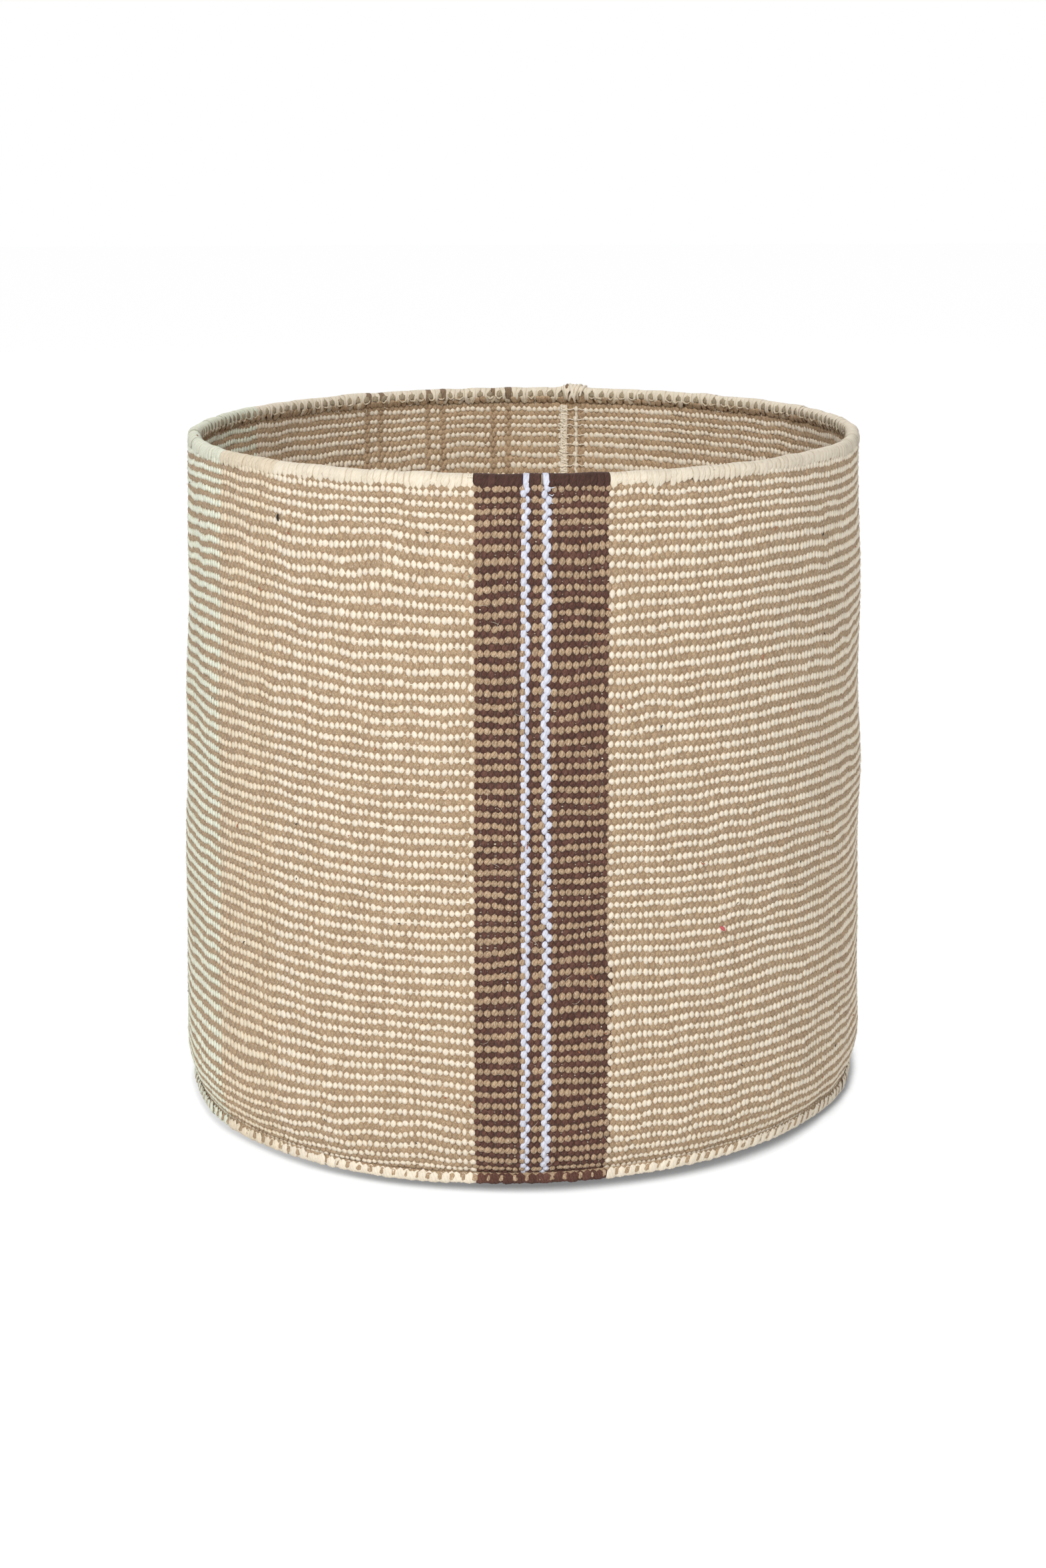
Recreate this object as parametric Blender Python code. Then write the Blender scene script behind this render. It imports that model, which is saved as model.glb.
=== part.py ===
"""Open round storage basket of loom-woven cloth, bound over a cord at rim and foot.

Metres, +Z up. The origin is the centre of the underside, and the dark stripe
faces -Y. Angles run from -Y towards +X.
"""

import math

import bmesh
import bpy
from mathutils import Vector

# Overall sizes
BASKET_HEIGHT = 0.300
WALL_WIDEST_RADIUS = 0.1536
WALL_WIDEST_HEIGHT = 0.024
WALL_TAPER = 0.0044
WALL_BELLY = 0.0006
CLOTH_THICKNESS = 0.0035
BASE_THICKNESS = 0.0035

# Bound edges: a round cord inside a sleeve of yarn
RIM_ROLL_RADIUS = 0.0029
RIM_CORD_RADIUS = 0.0014
FOOT_ROLL_RADIUS = 0.0030
FOOT_CORD_RADIUS = 0.0015
FOOT_TUCK = 0.0060
SLEEVE_SLOT = 0.0012

# The hand-made shape: a slight oval, one crease and one shallow hollow
OVAL_AT_FOOT = 0.0053
OVAL_AT_RIM = 0.0022
OVAL_AXIS_AT_FOOT = math.radians(-63.6)
OVAL_AXIS_AT_RIM = math.radians(-36.0)
CREASE_DEPTH = 0.0012
CREASE_ANGLE = math.radians(-73.0)
CREASE_SPREAD = math.radians(4.0)
CREASE_HEIGHT_SHARE = 0.70
CREASE_REACH_SHARE = 0.25
HOLLOW_DEPTH = 0.0010
HOLLOW_ANGLE = math.radians(-34.0)
HOLLOW_SPREAD = math.radians(12.0)
HOLLOW_HEIGHT_SHARE = 0.28
HOLLOW_REACH_SHARE = 0.16

# Stripe down the front and seam at the back, by pairs of warp yarns
PAIR_ANGLE = math.radians(1.0)
STRIPE_HALF_PAIRS = 10
WHITE_LINE_LEFT_PAIR = -3
WHITE_LINE_RIGHT_PAIR = 0
SEAM_ANGLE = math.radians(167.7)

# Sewing
SEAM_THREAD_RADIUS = 0.0008
SEAM_STITCH_WIDTH = 0.0046
SEAM_STITCHES = 29
BASE_THREAD_RADIUS = 0.0007
BASE_STITCH_WIDTH = 0.0030
BASE_STITCHES = 60

# Clearances
PIECE_GAP = 0.0003
THREAD_GAP = 0.0003

# Mesh fineness
COLUMN_ANGLE = math.radians(5.0)
CURL_ROWS = 5
UPPER_ROWS = 7
SLEEVE_SIDES = 10
SLEEVE_BORE_SIDES = 6
CORD_SIDES = 6
FULL_TURN = 2.0 * math.pi
ROUND_SHADING = math.radians(50.0)

# How sharply the wall curls in above the foot
CURL_POWER = 2.2

# Worked out from the sizes above
WALL_TOP_RADIUS = WALL_WIDEST_RADIUS - WALL_TAPER
FOOT_CENTRE_RADIUS = WALL_WIDEST_RADIUS - FOOT_TUCK
RIM_CENTRE_RADIUS = WALL_TOP_RADIUS - RIM_ROLL_RADIUS
RIM_CENTRE_HEIGHT = BASKET_HEIGHT - RIM_ROLL_RADIUS
WALL_TOP = BASKET_HEIGHT - 2.0 * RIM_ROLL_RADIUS - PIECE_GAP
WALL_FOOT = 2.0 * FOOT_ROLL_RADIUS + PIECE_GAP
WALL_FOOT_RADIUS = FOOT_CENTRE_RADIUS + 0.5 * CLOTH_THICKNESS
BASE_RADIUS = FOOT_CENTRE_RADIUS - FOOT_ROLL_RADIUS - PIECE_GAP

CREAM = (0.80, 0.68, 0.49, 1.0)
SAND = (0.60, 0.46, 0.32, 1.0)
DARK_BROWN = (0.16, 0.095, 0.065, 1.0)
COOL_WHITE = (0.73, 0.73, 0.82, 1.0)
CORD_GREY = (0.55, 0.47, 0.36, 1.0)
WOOL_ROUGHNESS = 0.92
COTTON_ROUGHNESS = 0.85


def clear_scene():
    for old in list(bpy.data.objects):
        bpy.data.objects.remove(old, do_unlink=True)


def yarn_material(name, colour, roughness):
    material = bpy.data.materials.new(name)
    material.use_nodes = True
    material.diffuse_color = colour
    shader = material.node_tree.nodes["Principled BSDF"]
    shader.inputs["Base Color"].default_value = colour
    shader.inputs["Roughness"].default_value = roughness
    shader.inputs["Metallic"].default_value = 0.0
    return material


def blend(low, high, share):
    return low + (high - low) * min(max(share, 0.0), 1.0)


def bell(value, middle, reach):
    return math.exp(-(((value - middle) / reach) ** 2))


def hand_shape(angle, height):
    """How far the cloth leaves the true circle at this angle and height."""
    share = height / BASKET_HEIGHT
    swing = blend(OVAL_AT_FOOT, OVAL_AT_RIM, share)
    axis = blend(OVAL_AXIS_AT_FOOT, OVAL_AXIS_AT_RIM, share)
    turn = math.atan2(math.sin(angle), math.cos(angle))
    crease = CREASE_DEPTH * bell(turn, CREASE_ANGLE, CREASE_SPREAD)
    crease *= bell(share, CREASE_HEIGHT_SHARE, CREASE_REACH_SHARE)
    hollow = HOLLOW_DEPTH * bell(turn, HOLLOW_ANGLE, HOLLOW_SPREAD)
    hollow *= bell(share, HOLLOW_HEIGHT_SHARE, HOLLOW_REACH_SHARE)
    return swing * math.cos(2.0 * (angle - axis)) - crease - hollow


def wall_radius(angle, height):
    """Outer face of the cloth: wider towards the base, then curled in to the foot."""
    if height < WALL_WIDEST_HEIGHT:
        drop = (WALL_WIDEST_HEIGHT - height) / (WALL_WIDEST_HEIGHT - WALL_FOOT)
        radius = blend(WALL_WIDEST_RADIUS, WALL_FOOT_RADIUS, drop**CURL_POWER)
    else:
        rise = (height - WALL_WIDEST_HEIGHT) / (WALL_TOP - WALL_WIDEST_HEIGHT)
        radius = blend(WALL_WIDEST_RADIUS, WALL_TOP_RADIUS, rise)
        radius += WALL_BELLY * math.sin(math.pi * min(rise, 1.0))
    return radius + hand_shape(angle, height)


def ring_point(angle, radius, height):
    return Vector((radius * math.sin(angle), -radius * math.cos(angle), height))


def follow_hand_shape(bm):
    """Move a truly round piece out or in with the cloth that it is sewn to."""
    for vert in bm.verts:
        angle = math.atan2(vert.co.x, -vert.co.y)
        radius = vert.co.xy.length
        shift = hand_shape(angle, vert.co.z) * min(radius / FOOT_CENTRE_RADIUS, 1.0)
        vert.co = ring_point(angle, radius + shift, vert.co.z)


def add_piece(name, bm, material):
    bmesh.ops.recalc_face_normals(bm, faces=bm.faces)
    mesh = bpy.data.meshes.new(name)
    bm.to_mesh(mesh)
    bm.free()
    mesh.shade_smooth()
    mesh.set_sharp_from_angle(angle=ROUND_SHADING)
    mesh.materials.append(material)
    piece = bpy.data.objects.new(name, mesh)
    bpy.context.collection.objects.link(piece)
    return piece


def between_gaps(start, end, least_radius):
    """The angles that leave each neighbour half of the gap."""
    trim = 0.5 * PIECE_GAP / least_radius
    return start + trim, end - trim


def row_heights():
    """Heights of the mesh rows: close together in the curl, wide apart above it."""
    curl = [
        blend(WALL_FOOT, WALL_WIDEST_HEIGHT, row / CURL_ROWS) for row in range(CURL_ROWS)
    ]
    upper = [
        blend(WALL_WIDEST_HEIGHT, WALL_TOP, row / UPPER_ROWS) for row in range(UPPER_ROWS + 1)
    ]
    return curl + upper


def add_wall_panel(name, start, end, material):
    """A flat grid of cloth, rolled to the wall and thickened inwards."""
    start, end = between_gaps(start, end, WALL_FOOT_RADIUS - CLOTH_THICKNESS - OVAL_AT_FOOT)
    columns = max(1, round((end - start) / COLUMN_ANGLE))
    heights = row_heights()
    rows = len(heights) - 1
    bm = bmesh.new()
    bmesh.ops.create_grid(bm, x_segments=columns, y_segments=rows, size=1.0)
    outer = bm.verts[:]
    lining = bmesh.ops.extrude_face_region(bm, geom=bm.faces[:])["geom"]
    inner = [item for item in lining if isinstance(item, bmesh.types.BMVert)]
    for verts, depth in ((outer, 0.0), (inner, CLOTH_THICKNESS)):
        for vert in verts:
            angle = blend(start, end, (vert.co.x + 1.0) / 2.0)
            height = heights[round((vert.co.y + 1.0) / 2.0 * rows)]
            vert.co = ring_point(angle, wall_radius(angle, height) - depth, height)
    return add_piece(name, bm, material)


def sleeve_outline(roll_radius, bore_radius, slot_side):
    """Section of a bound edge: a ring of yarn with a slot where the cloth comes in."""
    outline = []
    for radius, sides, direction in (
        (roll_radius, SLEEVE_SIDES, 1.0),
        (bore_radius, SLEEVE_BORE_SIDES, -1.0),
    ):
        half_slot = math.asin(0.5 * SLEEVE_SLOT / radius)
        for step in range(sides + 1):
            sweep = half_slot + (FULL_TURN - 2.0 * half_slot) * step / sides
            around = direction * sweep
            outline.append((radius * math.sin(around), slot_side * radius * math.cos(around)))
    return outline


def sweep_outline(outline, centre_radius, centre_height, start, end):
    """Turn a section about the upright axis, closed on itself or capped at both ends."""
    closed = end - start >= FULL_TURN
    bm = bmesh.new()
    verts = [
        bm.verts.new(ring_point(start, centre_radius + out, centre_height + up))
        for out, up in outline
    ]
    edges = [bm.edges.new((verts[i - 1], verts[i])) for i in range(len(verts))]
    steps = max(1, round((end - start) / COLUMN_ANGLE))
    if not closed:
        bm.faces.new(verts)
    turned = bmesh.ops.spin(
        bm, geom=edges, cent=(0, 0, 0), axis=(0, 0, 1), angle=end - start, steps=steps, use_merge=closed
    )
    if not closed:
        last = [item for item in turned["geom_last"] if isinstance(item, bmesh.types.BMEdge)]
        bmesh.ops.edgeloop_fill(bm, edges=last)
    follow_hand_shape(bm)
    return bm


def add_sleeve(name, roll, start, end, material):
    """A length of bound edge, wrapped round its cord."""
    start, end = between_gaps(start, end, roll["centre_radius"] - roll["roll_radius"] - OVAL_AT_FOOT)
    bore = roll["cord_radius"] + THREAD_GAP
    outline = sleeve_outline(roll["roll_radius"], bore, roll["slot_side"])
    bm = sweep_outline(outline, roll["centre_radius"], roll["centre_height"], start, end)
    return add_piece(name, bm, material)


def add_cord(name, roll, material):
    """The round cord that gives a bound edge its body."""
    outline = [
        (
            roll["cord_radius"] * math.sin(FULL_TURN * side / CORD_SIDES),
            roll["cord_radius"] * math.cos(FULL_TURN * side / CORD_SIDES),
        )
        for side in range(CORD_SIDES)
    ]
    bm = sweep_outline(outline, roll["centre_radius"], roll["centre_height"], 0.0, FULL_TURN)
    return add_piece(name, bm, material)


def add_base(name, material):
    """The round floor of cloth, flat underneath, inside the foot roll."""
    bm = bmesh.new()
    columns = round(FULL_TURN / COLUMN_ANGLE)
    disc = bmesh.ops.create_circle(bm, cap_ends=True, segments=columns, radius=BASE_RADIUS)
    lifted = bmesh.ops.extrude_face_region(bm, geom=bm.faces[:])["geom"]
    top = [item for item in lifted if isinstance(item, bmesh.types.BMVert)]
    bmesh.ops.translate(bm, verts=top, vec=(0, 0, BASE_THICKNESS))
    for vert in disc["verts"] + top:
        angle = math.atan2(vert.co.x, -vert.co.y)
        vert.co = ring_point(angle, BASE_RADIUS + hand_shape(angle, 0.0), vert.co.z)
    return add_piece(name, bm, material)


def add_thread(name, points, radius, closed, material):
    curve = bpy.data.curves.new(name, "CURVE")
    curve.dimensions = "3D"
    curve.bevel_depth = radius
    curve.bevel_resolution = 0
    curve.use_fill_caps = True
    spline = curve.splines.new("POLY")
    spline.points.add(len(points) - 1)
    for slot, point in zip(spline.points, points):
        slot.co = (*point, 1.0)
    spline.use_cyclic_u = closed
    curve.materials.append(material)
    thread = bpy.data.objects.new(name, curve)
    bpy.context.collection.objects.link(thread)
    return thread


def add_seam_thread(name, outside, material):
    """Whip stitches that climb the seam, to and fro across the two cloth edges."""
    clear = THREAD_GAP + SEAM_THREAD_RADIUS
    offset = clear if outside else -CLOTH_THICKNESS - clear
    low = WALL_FOOT + clear
    high = WALL_TOP - clear
    points = []
    for step in range(2 * SEAM_STITCHES + 1):
        height = blend(low, high, step / (2.0 * SEAM_STITCHES))
        side = 0.5 * SEAM_STITCH_WIDTH * (1 if step % 2 else -1)
        angle = SEAM_ANGLE + side / WALL_TOP_RADIUS
        points.append(ring_point(angle, wall_radius(angle, height) + offset, height))
    return add_thread(name, points, SEAM_THREAD_RADIUS, False, material)


def add_base_thread(name, material):
    """Stitches round the rim of the floor, where it is sewn to the foot roll."""
    height = BASE_THICKNESS + THREAD_GAP + BASE_THREAD_RADIUS
    outer = BASE_RADIUS - THREAD_GAP - 2.0 * BASE_THREAD_RADIUS
    points = []
    for step in range(2 * BASE_STITCHES):
        angle = FULL_TURN * step / (2 * BASE_STITCHES)
        radius = outer - (BASE_STITCH_WIDTH if step % 2 else 0.0)
        points.append(ring_point(angle, radius + hand_shape(angle, 0.0), height))
    return add_thread(name, points, BASE_THREAD_RADIUS, True, material)


def build_basket():
    clear_scene()
    cream = yarn_material("cream_wool_yarn", CREAM, WOOL_ROUGHNESS)
    sand = yarn_material("cream_and_sand_cloth", SAND, WOOL_ROUGHNESS)
    brown = yarn_material("dark_brown_wool_yarn", DARK_BROWN, WOOL_ROUGHNESS)
    white = yarn_material("cool_white_cotton_yarn", COOL_WHITE, COTTON_ROUGHNESS)
    inner_cord = yarn_material("undyed_inner_cord", CORD_GREY, WOOL_ROUGHNESS)

    stripe_end = STRIPE_HALF_PAIRS * PAIR_ANGLE
    left_line = WHITE_LINE_LEFT_PAIR * PAIR_ANGLE
    right_line = WHITE_LINE_RIGHT_PAIR * PAIR_ANGLE
    around_stripe = (
        ("stripe_left", -stripe_end, left_line, brown),
        ("white_line_left", left_line, left_line + PAIR_ANGLE, white),
        ("stripe_middle", left_line + PAIR_ANGLE, right_line, brown),
        ("white_line_right", right_line, right_line + PAIR_ANGLE, white),
        ("stripe_right", right_line + PAIR_ANGLE, stripe_end, brown),
    )
    around_field = (
        ("field_right", stripe_end, SEAM_ANGLE),
        ("field_left", SEAM_ANGLE, FULL_TURN - stripe_end),
    )
    rim = {
        "centre_radius": RIM_CENTRE_RADIUS,
        "centre_height": RIM_CENTRE_HEIGHT,
        "roll_radius": RIM_ROLL_RADIUS,
        "cord_radius": RIM_CORD_RADIUS,
        "slot_side": -1.0,
    }
    foot = {
        "centre_radius": FOOT_CENTRE_RADIUS,
        "centre_height": FOOT_ROLL_RADIUS,
        "roll_radius": FOOT_ROLL_RADIUS,
        "cord_radius": FOOT_CORD_RADIUS,
        "slot_side": 1.0,
    }

    for name, start, end in around_field:
        add_wall_panel("wall_" + name, start, end, sand)
        add_sleeve("rim_binding_" + name, rim, start, end, cream)
        add_sleeve("foot_binding_" + name, foot, start, end, cream)
    for name, start, end, yarn in around_stripe:
        add_wall_panel("wall_" + name, start, end, yarn)
        add_sleeve("rim_binding_" + name, rim, start, end, yarn)
    add_sleeve("foot_binding_stripe", foot, -stripe_end, stripe_end, brown)

    add_cord("rim_cord", rim, inner_cord)
    add_cord("foot_cord", foot, inner_cord)
    add_base("base_cloth", sand)
    add_base_thread("base_seam_thread", cream)
    add_seam_thread("back_seam_thread_inside", False, cream)
    add_seam_thread("back_seam_thread_outside", True, cream)


build_basket()
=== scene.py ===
import math

import bmesh
import bpy
import numpy as np
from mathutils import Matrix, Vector


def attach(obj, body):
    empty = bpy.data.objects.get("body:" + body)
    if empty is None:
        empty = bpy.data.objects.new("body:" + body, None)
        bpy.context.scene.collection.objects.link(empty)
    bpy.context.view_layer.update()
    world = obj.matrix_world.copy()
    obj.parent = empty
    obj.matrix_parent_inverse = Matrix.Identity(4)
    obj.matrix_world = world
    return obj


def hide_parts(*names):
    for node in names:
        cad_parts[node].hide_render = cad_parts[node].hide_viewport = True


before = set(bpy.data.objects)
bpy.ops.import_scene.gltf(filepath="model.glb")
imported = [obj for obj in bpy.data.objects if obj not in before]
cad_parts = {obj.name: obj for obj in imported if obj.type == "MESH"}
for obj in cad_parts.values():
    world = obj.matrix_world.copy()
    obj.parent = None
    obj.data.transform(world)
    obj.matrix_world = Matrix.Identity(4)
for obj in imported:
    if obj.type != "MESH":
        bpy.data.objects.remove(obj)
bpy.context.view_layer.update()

# Shape of the cloth wall, as the frame holds it. Angles run from the stripe (-Y) towards +X.
basketShape = {
    "height": 0.300,
    "topRadius": 0.1492,
    "widestRadius": 0.1536,
    "widestHeight": 0.024,
    "belly": 0.0006,
    "footRadius": 0.14935,
    "clothFoot": 0.0063,
    "clothTop": 0.2939,
    "curlPower": 2.2,
    "clothThickness": 0.0035,
    "ovalFoot": 0.0053,
    "ovalRim": 0.0022,
    "ovalFootAxis": math.radians(-63.6),
    "ovalRimAxis": math.radians(-36.0),
    "swellWaves": 12,
    "swell": 0.00013,
}
# dents left by hand: angle in degrees, share of the height, reach round, reach up, depth
handDents = (
    (-73, 0.70, 4, 0.25, 0.0012),
    (-34, 0.28, 12, 0.16, 0.0010),
)


def bell(value, middle, reach):
    # 1 at the middle, falling to nothing past the reach
    return np.exp(-(((value - middle) / reach) ** 2))


def turned(angle):
    # the same angle between -pi and pi
    return np.arctan2(np.sin(angle), np.cos(angle))


def roundPlace(x, y):
    # angle round the basket from the stripe, and distance from its middle
    return np.arctan2(x, -y), np.hypot(x, y)


def roundPoints(angle, radius, height):
    return np.stack([radius * np.sin(angle), -radius * np.cos(angle), height], axis=1)


def clothSwell(angle, height):
    # soft, shallow swells in the cloth
    rng = np.random.default_rng(41)
    total = 0
    for wave in range(basketShape["swellWaves"]):
        turns = rng.integers(3, 17)
        climb = rng.uniform(-120, 120)
        total = total + np.sin(turns * angle + climb * height + rng.uniform(0, 6.28))
    return basketShape["swell"] * total


def handShape(angle, height):
    # how far the hand-made basket leaves a true circle
    s = basketShape
    share = np.clip(height / s["height"], 0, 1)
    swing = s["ovalFoot"] + (s["ovalRim"] - s["ovalFoot"]) * share
    axis = s["ovalFootAxis"] + (s["ovalRimAxis"] - s["ovalFootAxis"]) * share
    turn = np.degrees(turned(angle))
    shape = swing * np.cos(2 * (angle - axis))
    for around, high, reachRound, reachUp, depth in handDents:
        shape = shape - depth * bell(turn, around, reachRound) * bell(share, high, reachUp)
    return shape + clothSwell(angle, height)


def wallRadius(angle, height):
    s = basketShape
    drop = np.clip((s["widestHeight"] - height) / (s["widestHeight"] - s["clothFoot"]), 0, 1.15)
    rise = np.clip((height - s["widestHeight"]) / (s["clothTop"] - s["widestHeight"]), 0, 1.02)
    low = s["widestRadius"] + (s["footRadius"] - s["widestRadius"]) * drop ** s["curlPower"]
    high = s["widestRadius"] + (s["topRadius"] - s["widestRadius"]) * rise
    high = high + s["belly"] * np.sin(np.pi * np.minimum(rise, 1))
    return np.where(height < s["widestHeight"], low, high) + handShape(angle, height)


def wallPoints(angle, height, lift):
    # a point at a lift above the outer face of the cloth, square to it
    step = 0.0008
    slope = (wallRadius(angle, height + step) - wallRadius(angle, height - step)) / (2 * step)
    length = np.sqrt(1 + slope ** 2)
    radius = wallRadius(angle, height) + lift / length
    return roundPoints(angle, radius, height - lift * slope / length)


def insideLift(lift):
    # a lift above the inner face of the cloth, as wallPoints takes it
    return -basketShape["clothThickness"] - lift


# The weave, counted on the photograph: pairs of warp yarns round the wall, rows of weft up it
weave = {
    "pairs": 360,
    "pairAngle": math.radians(1.0),
    "pairWidth": 2.6,  # mm, as the fibre pattern counts
    "rows": 58,
    "topRow": 0.2923,
    "rowPitch": 0.00504,
    "footPitch": 0.0040,
    "stripe": math.radians(10),  # half its width
    "climb": (-0.00041, -0.00039, -0.00091),  # level, sideways and front-to-back tilt of the rows
    "wander": 0.07,  # of a row, from one pair to the next
    "seed": 7,
}


def rowHeight(row):
    # height of a weft row, 1 at the top; a half row lies between two, and the last ones are beaten closer
    row = np.asarray(row, float)
    last = weave["rows"] - 1
    z = weave["topRow"] - weave["rowPitch"] * (np.minimum(row, last) - 1)
    z = z + 0.0016 * bell(row, 4.5, 2.5) - 0.0019 * bell(row, 20, 7)
    return z - weave["footPitch"] * np.clip(row - last, 0, 9)


# Where the rows climb (+) or sink (-): angle, height, reach round, reach up, drift, in degrees and mm
rowDrifts = (
    (-54, 204, 25, 132, 7.0),
    (37, 234, 34, 80, 7.0),
    (-56, 28, 14, 21, -5.3),
    (59, 308, 20, 219, -4.7),
    (78, 152, 14, 28, -4.3),
    (29, 247, 20, 98, -4.3),
    (-58, 171, 12, 54, -3.7),
    (72, 64, 8, 20, -3.6),
    (8, 104, 16, 29, 3.6),
    (-21, 24, 10, 46, 3.3),
    (-26, 269, 9, 26, 3.2),
    (-37, 246, 16, 220, -2.6),
    (43, 90, 8, 18, 1.9),
    (178, 264, 60, 16, 0.9),
    (178, 293, 60, 14, -1.5),
    (178, 246, 60, 12, 0.9),
)


def rowWave(angle, height):
    # the cloth is rolled by hand, so its rows climb and fall a little on their way round
    level, sideways, forwards = weave["climb"]
    wave = level + sideways * np.sin(angle) + forwards * np.cos(angle)
    for around, high, reachRound, reachUp, drift in rowDrifts:
        apart = np.degrees(turned(angle - math.radians(around)))
        wave = wave + 0.001 * drift * bell(apart, 0, reachRound) * bell(height * 1000, high, reachUp)
    return wave


def rowPlace(angle, row):
    # the height of a row at an angle round the wall, in steps because the wave depends on the height
    level = rowHeight(row)
    height = level + rowWave(angle, level)
    for again in range(2):
        height = level + rowWave(angle, height)
    return height


def warpDrift(angle, height):
    # the stripe was woven a little wider than its yarns need, more so near the foot, and its lines wander:
    # what its left side, its right side and its middle add, in degrees
    turn = np.degrees(turned(angle))
    low = np.clip(1 - np.asarray(height) / basketShape["height"], 0, 1)
    left = -(0.45 + 0.28 * low ** 2) * np.exp(-((turn + 11) / 6.5) ** 2)
    right = (0.15 + 0.62 * low ** 1.5) * np.exp(-((turn - 11) / 8) ** 2)
    middle = 0.12 + 0.24 * bell(height, 0.200, 0.030)
    middle = middle + 0.25 * bell(height, 0.0, 0.020) + 0.35 * bell(height, 0.299, 0.006)
    return np.radians(left + right - middle * np.exp(-((turn - 0.3) / 3.5) ** 2))


def clearSelection():
    if bpy.context.object and bpy.context.object.mode != "OBJECT":
        bpy.ops.object.mode_set(mode="OBJECT")
    bpy.ops.object.select_all(action="DESELECT")


def readPoints(mesh):
    flat = np.empty(len(mesh.vertices) * 3)
    mesh.vertices.foreach_get("co", flat)
    return flat.reshape(-1, 3)


def writePoints(mesh, points):
    mesh.vertices.foreach_set("co", np.ascontiguousarray(points, dtype=np.float32).ravel())
    mesh.update()


def writeYarn(mesh, fibre, chance=0.5, dull=0.0, high=1.0, cool=0.0):
    # what the yarn materials read: a random share, the two lots of dye, the height that sets the painted
    # shade, and the place in mm
    tone = np.empty((4, len(mesh.vertices)))
    for channel, values in zip(tone, (chance, dull, high, cool)):
        channel[:] = values
    layer = mesh.attributes.new("yarnToneAndShade", "FLOAT_COLOR", "POINT")
    layer.data.foreach_set("color", tone.T.astype(np.float32).ravel())
    layer = mesh.attributes.new("fibre", "FLOAT_VECTOR", "POINT")
    layer.data.foreach_set("vector", np.ascontiguousarray(fibre, dtype=np.float32).ravel())


def pickMaterials(mesh, picks):
    mesh.polygons.foreach_set("material_index", np.ascontiguousarray(picks, dtype=np.int32))


def finishPiece(piece, materials, nodes):
    # smooth faces, the materials, the body that carries the piece, and the nodes of the frame that it
    # replaces
    mesh = piece.data
    for material in materials:
        mesh.materials.append(material)
    mesh.polygons.foreach_set("use_smooth", np.ones(len(mesh.polygons), bool))
    mesh.update()
    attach(piece, "root")
    for node in nodes:
        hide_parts(node)


def repeatPiece(piece, axis, count, step):
    # copies in a row, joined in one mesh
    if count < 2:
        return
    array = piece.modifiers.new("repeat", "ARRAY")
    array.use_relative_offset = False
    array.use_constant_offset = True
    offset = [0, 0, 0]
    offset[axis] = step
    array.constant_offset_displace = offset
    array.count = count
    bpy.context.view_layer.objects.active = piece
    bpy.ops.object.modifier_apply(modifier=array.name)


def mergeSeam():
    # close the sheet where its two ends meet
    bpy.ops.object.mode_set(mode="EDIT")
    bpy.ops.mesh.select_all(action="SELECT")
    bpy.ops.mesh.remove_doubles(threshold=0.00001)
    bpy.ops.object.mode_set(mode="OBJECT")


def selectPoints(mesh, test):
    edit = bmesh.from_edit_mesh(mesh)
    edit.select_mode = {"VERT"}
    for vert in edit.verts:
        vert.select = bool(test(vert.co))
    edit.select_flush_mode()
    bmesh.update_edit_mesh(mesh)


def smallWander(pairs, rows, seed, waves=14):
    # a smooth random field, about -1 to 1, that closes round the basket
    rng = np.random.default_rng(seed)
    total = 0
    for wave in range(waves):
        turns = rng.integers(6, 46)
        climb = rng.uniform(-0.9, 0.9)
        total = total + np.sin(np.radians(turns * pairs) + climb * rows + rng.uniform(0, 6.28))
    return total / math.sqrt(waves)


def dropPoints(piece, unwanted):
    # delete the points that would lie beyond the bound edges, with their faces
    if not unwanted.any():
        return
    mesh = piece.data
    clearSelection()
    bpy.context.view_layer.objects.active = piece
    bpy.ops.object.mode_set(mode="EDIT")
    bpy.ops.mesh.select_mode(type="VERT")
    bpy.ops.mesh.select_all(action="DESELECT")
    bpy.ops.object.mode_set(mode="OBJECT")
    mesh.vertices.foreach_set("select", np.ascontiguousarray(unwanted, dtype=bool))
    bpy.ops.object.mode_set(mode="EDIT")
    bpy.ops.mesh.delete(type="VERT")
    bpy.ops.object.mode_set(mode="OBJECT")


# the cream yarn comes in three lots: a duller one and a cooler one follow each other round the left
dyeEdges = {"dull": (-60.1, -45.6), "cool": (-121.0, -60.1)}


def dyeLots(angle):
    # how much of the duller and of the cooler lot there is at an angle, 0 or 1
    turn = np.degrees(turned(angle))
    return [((turn > start) & (turn < end)).astype(float) for start, end in dyeEdges.values()]


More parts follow.
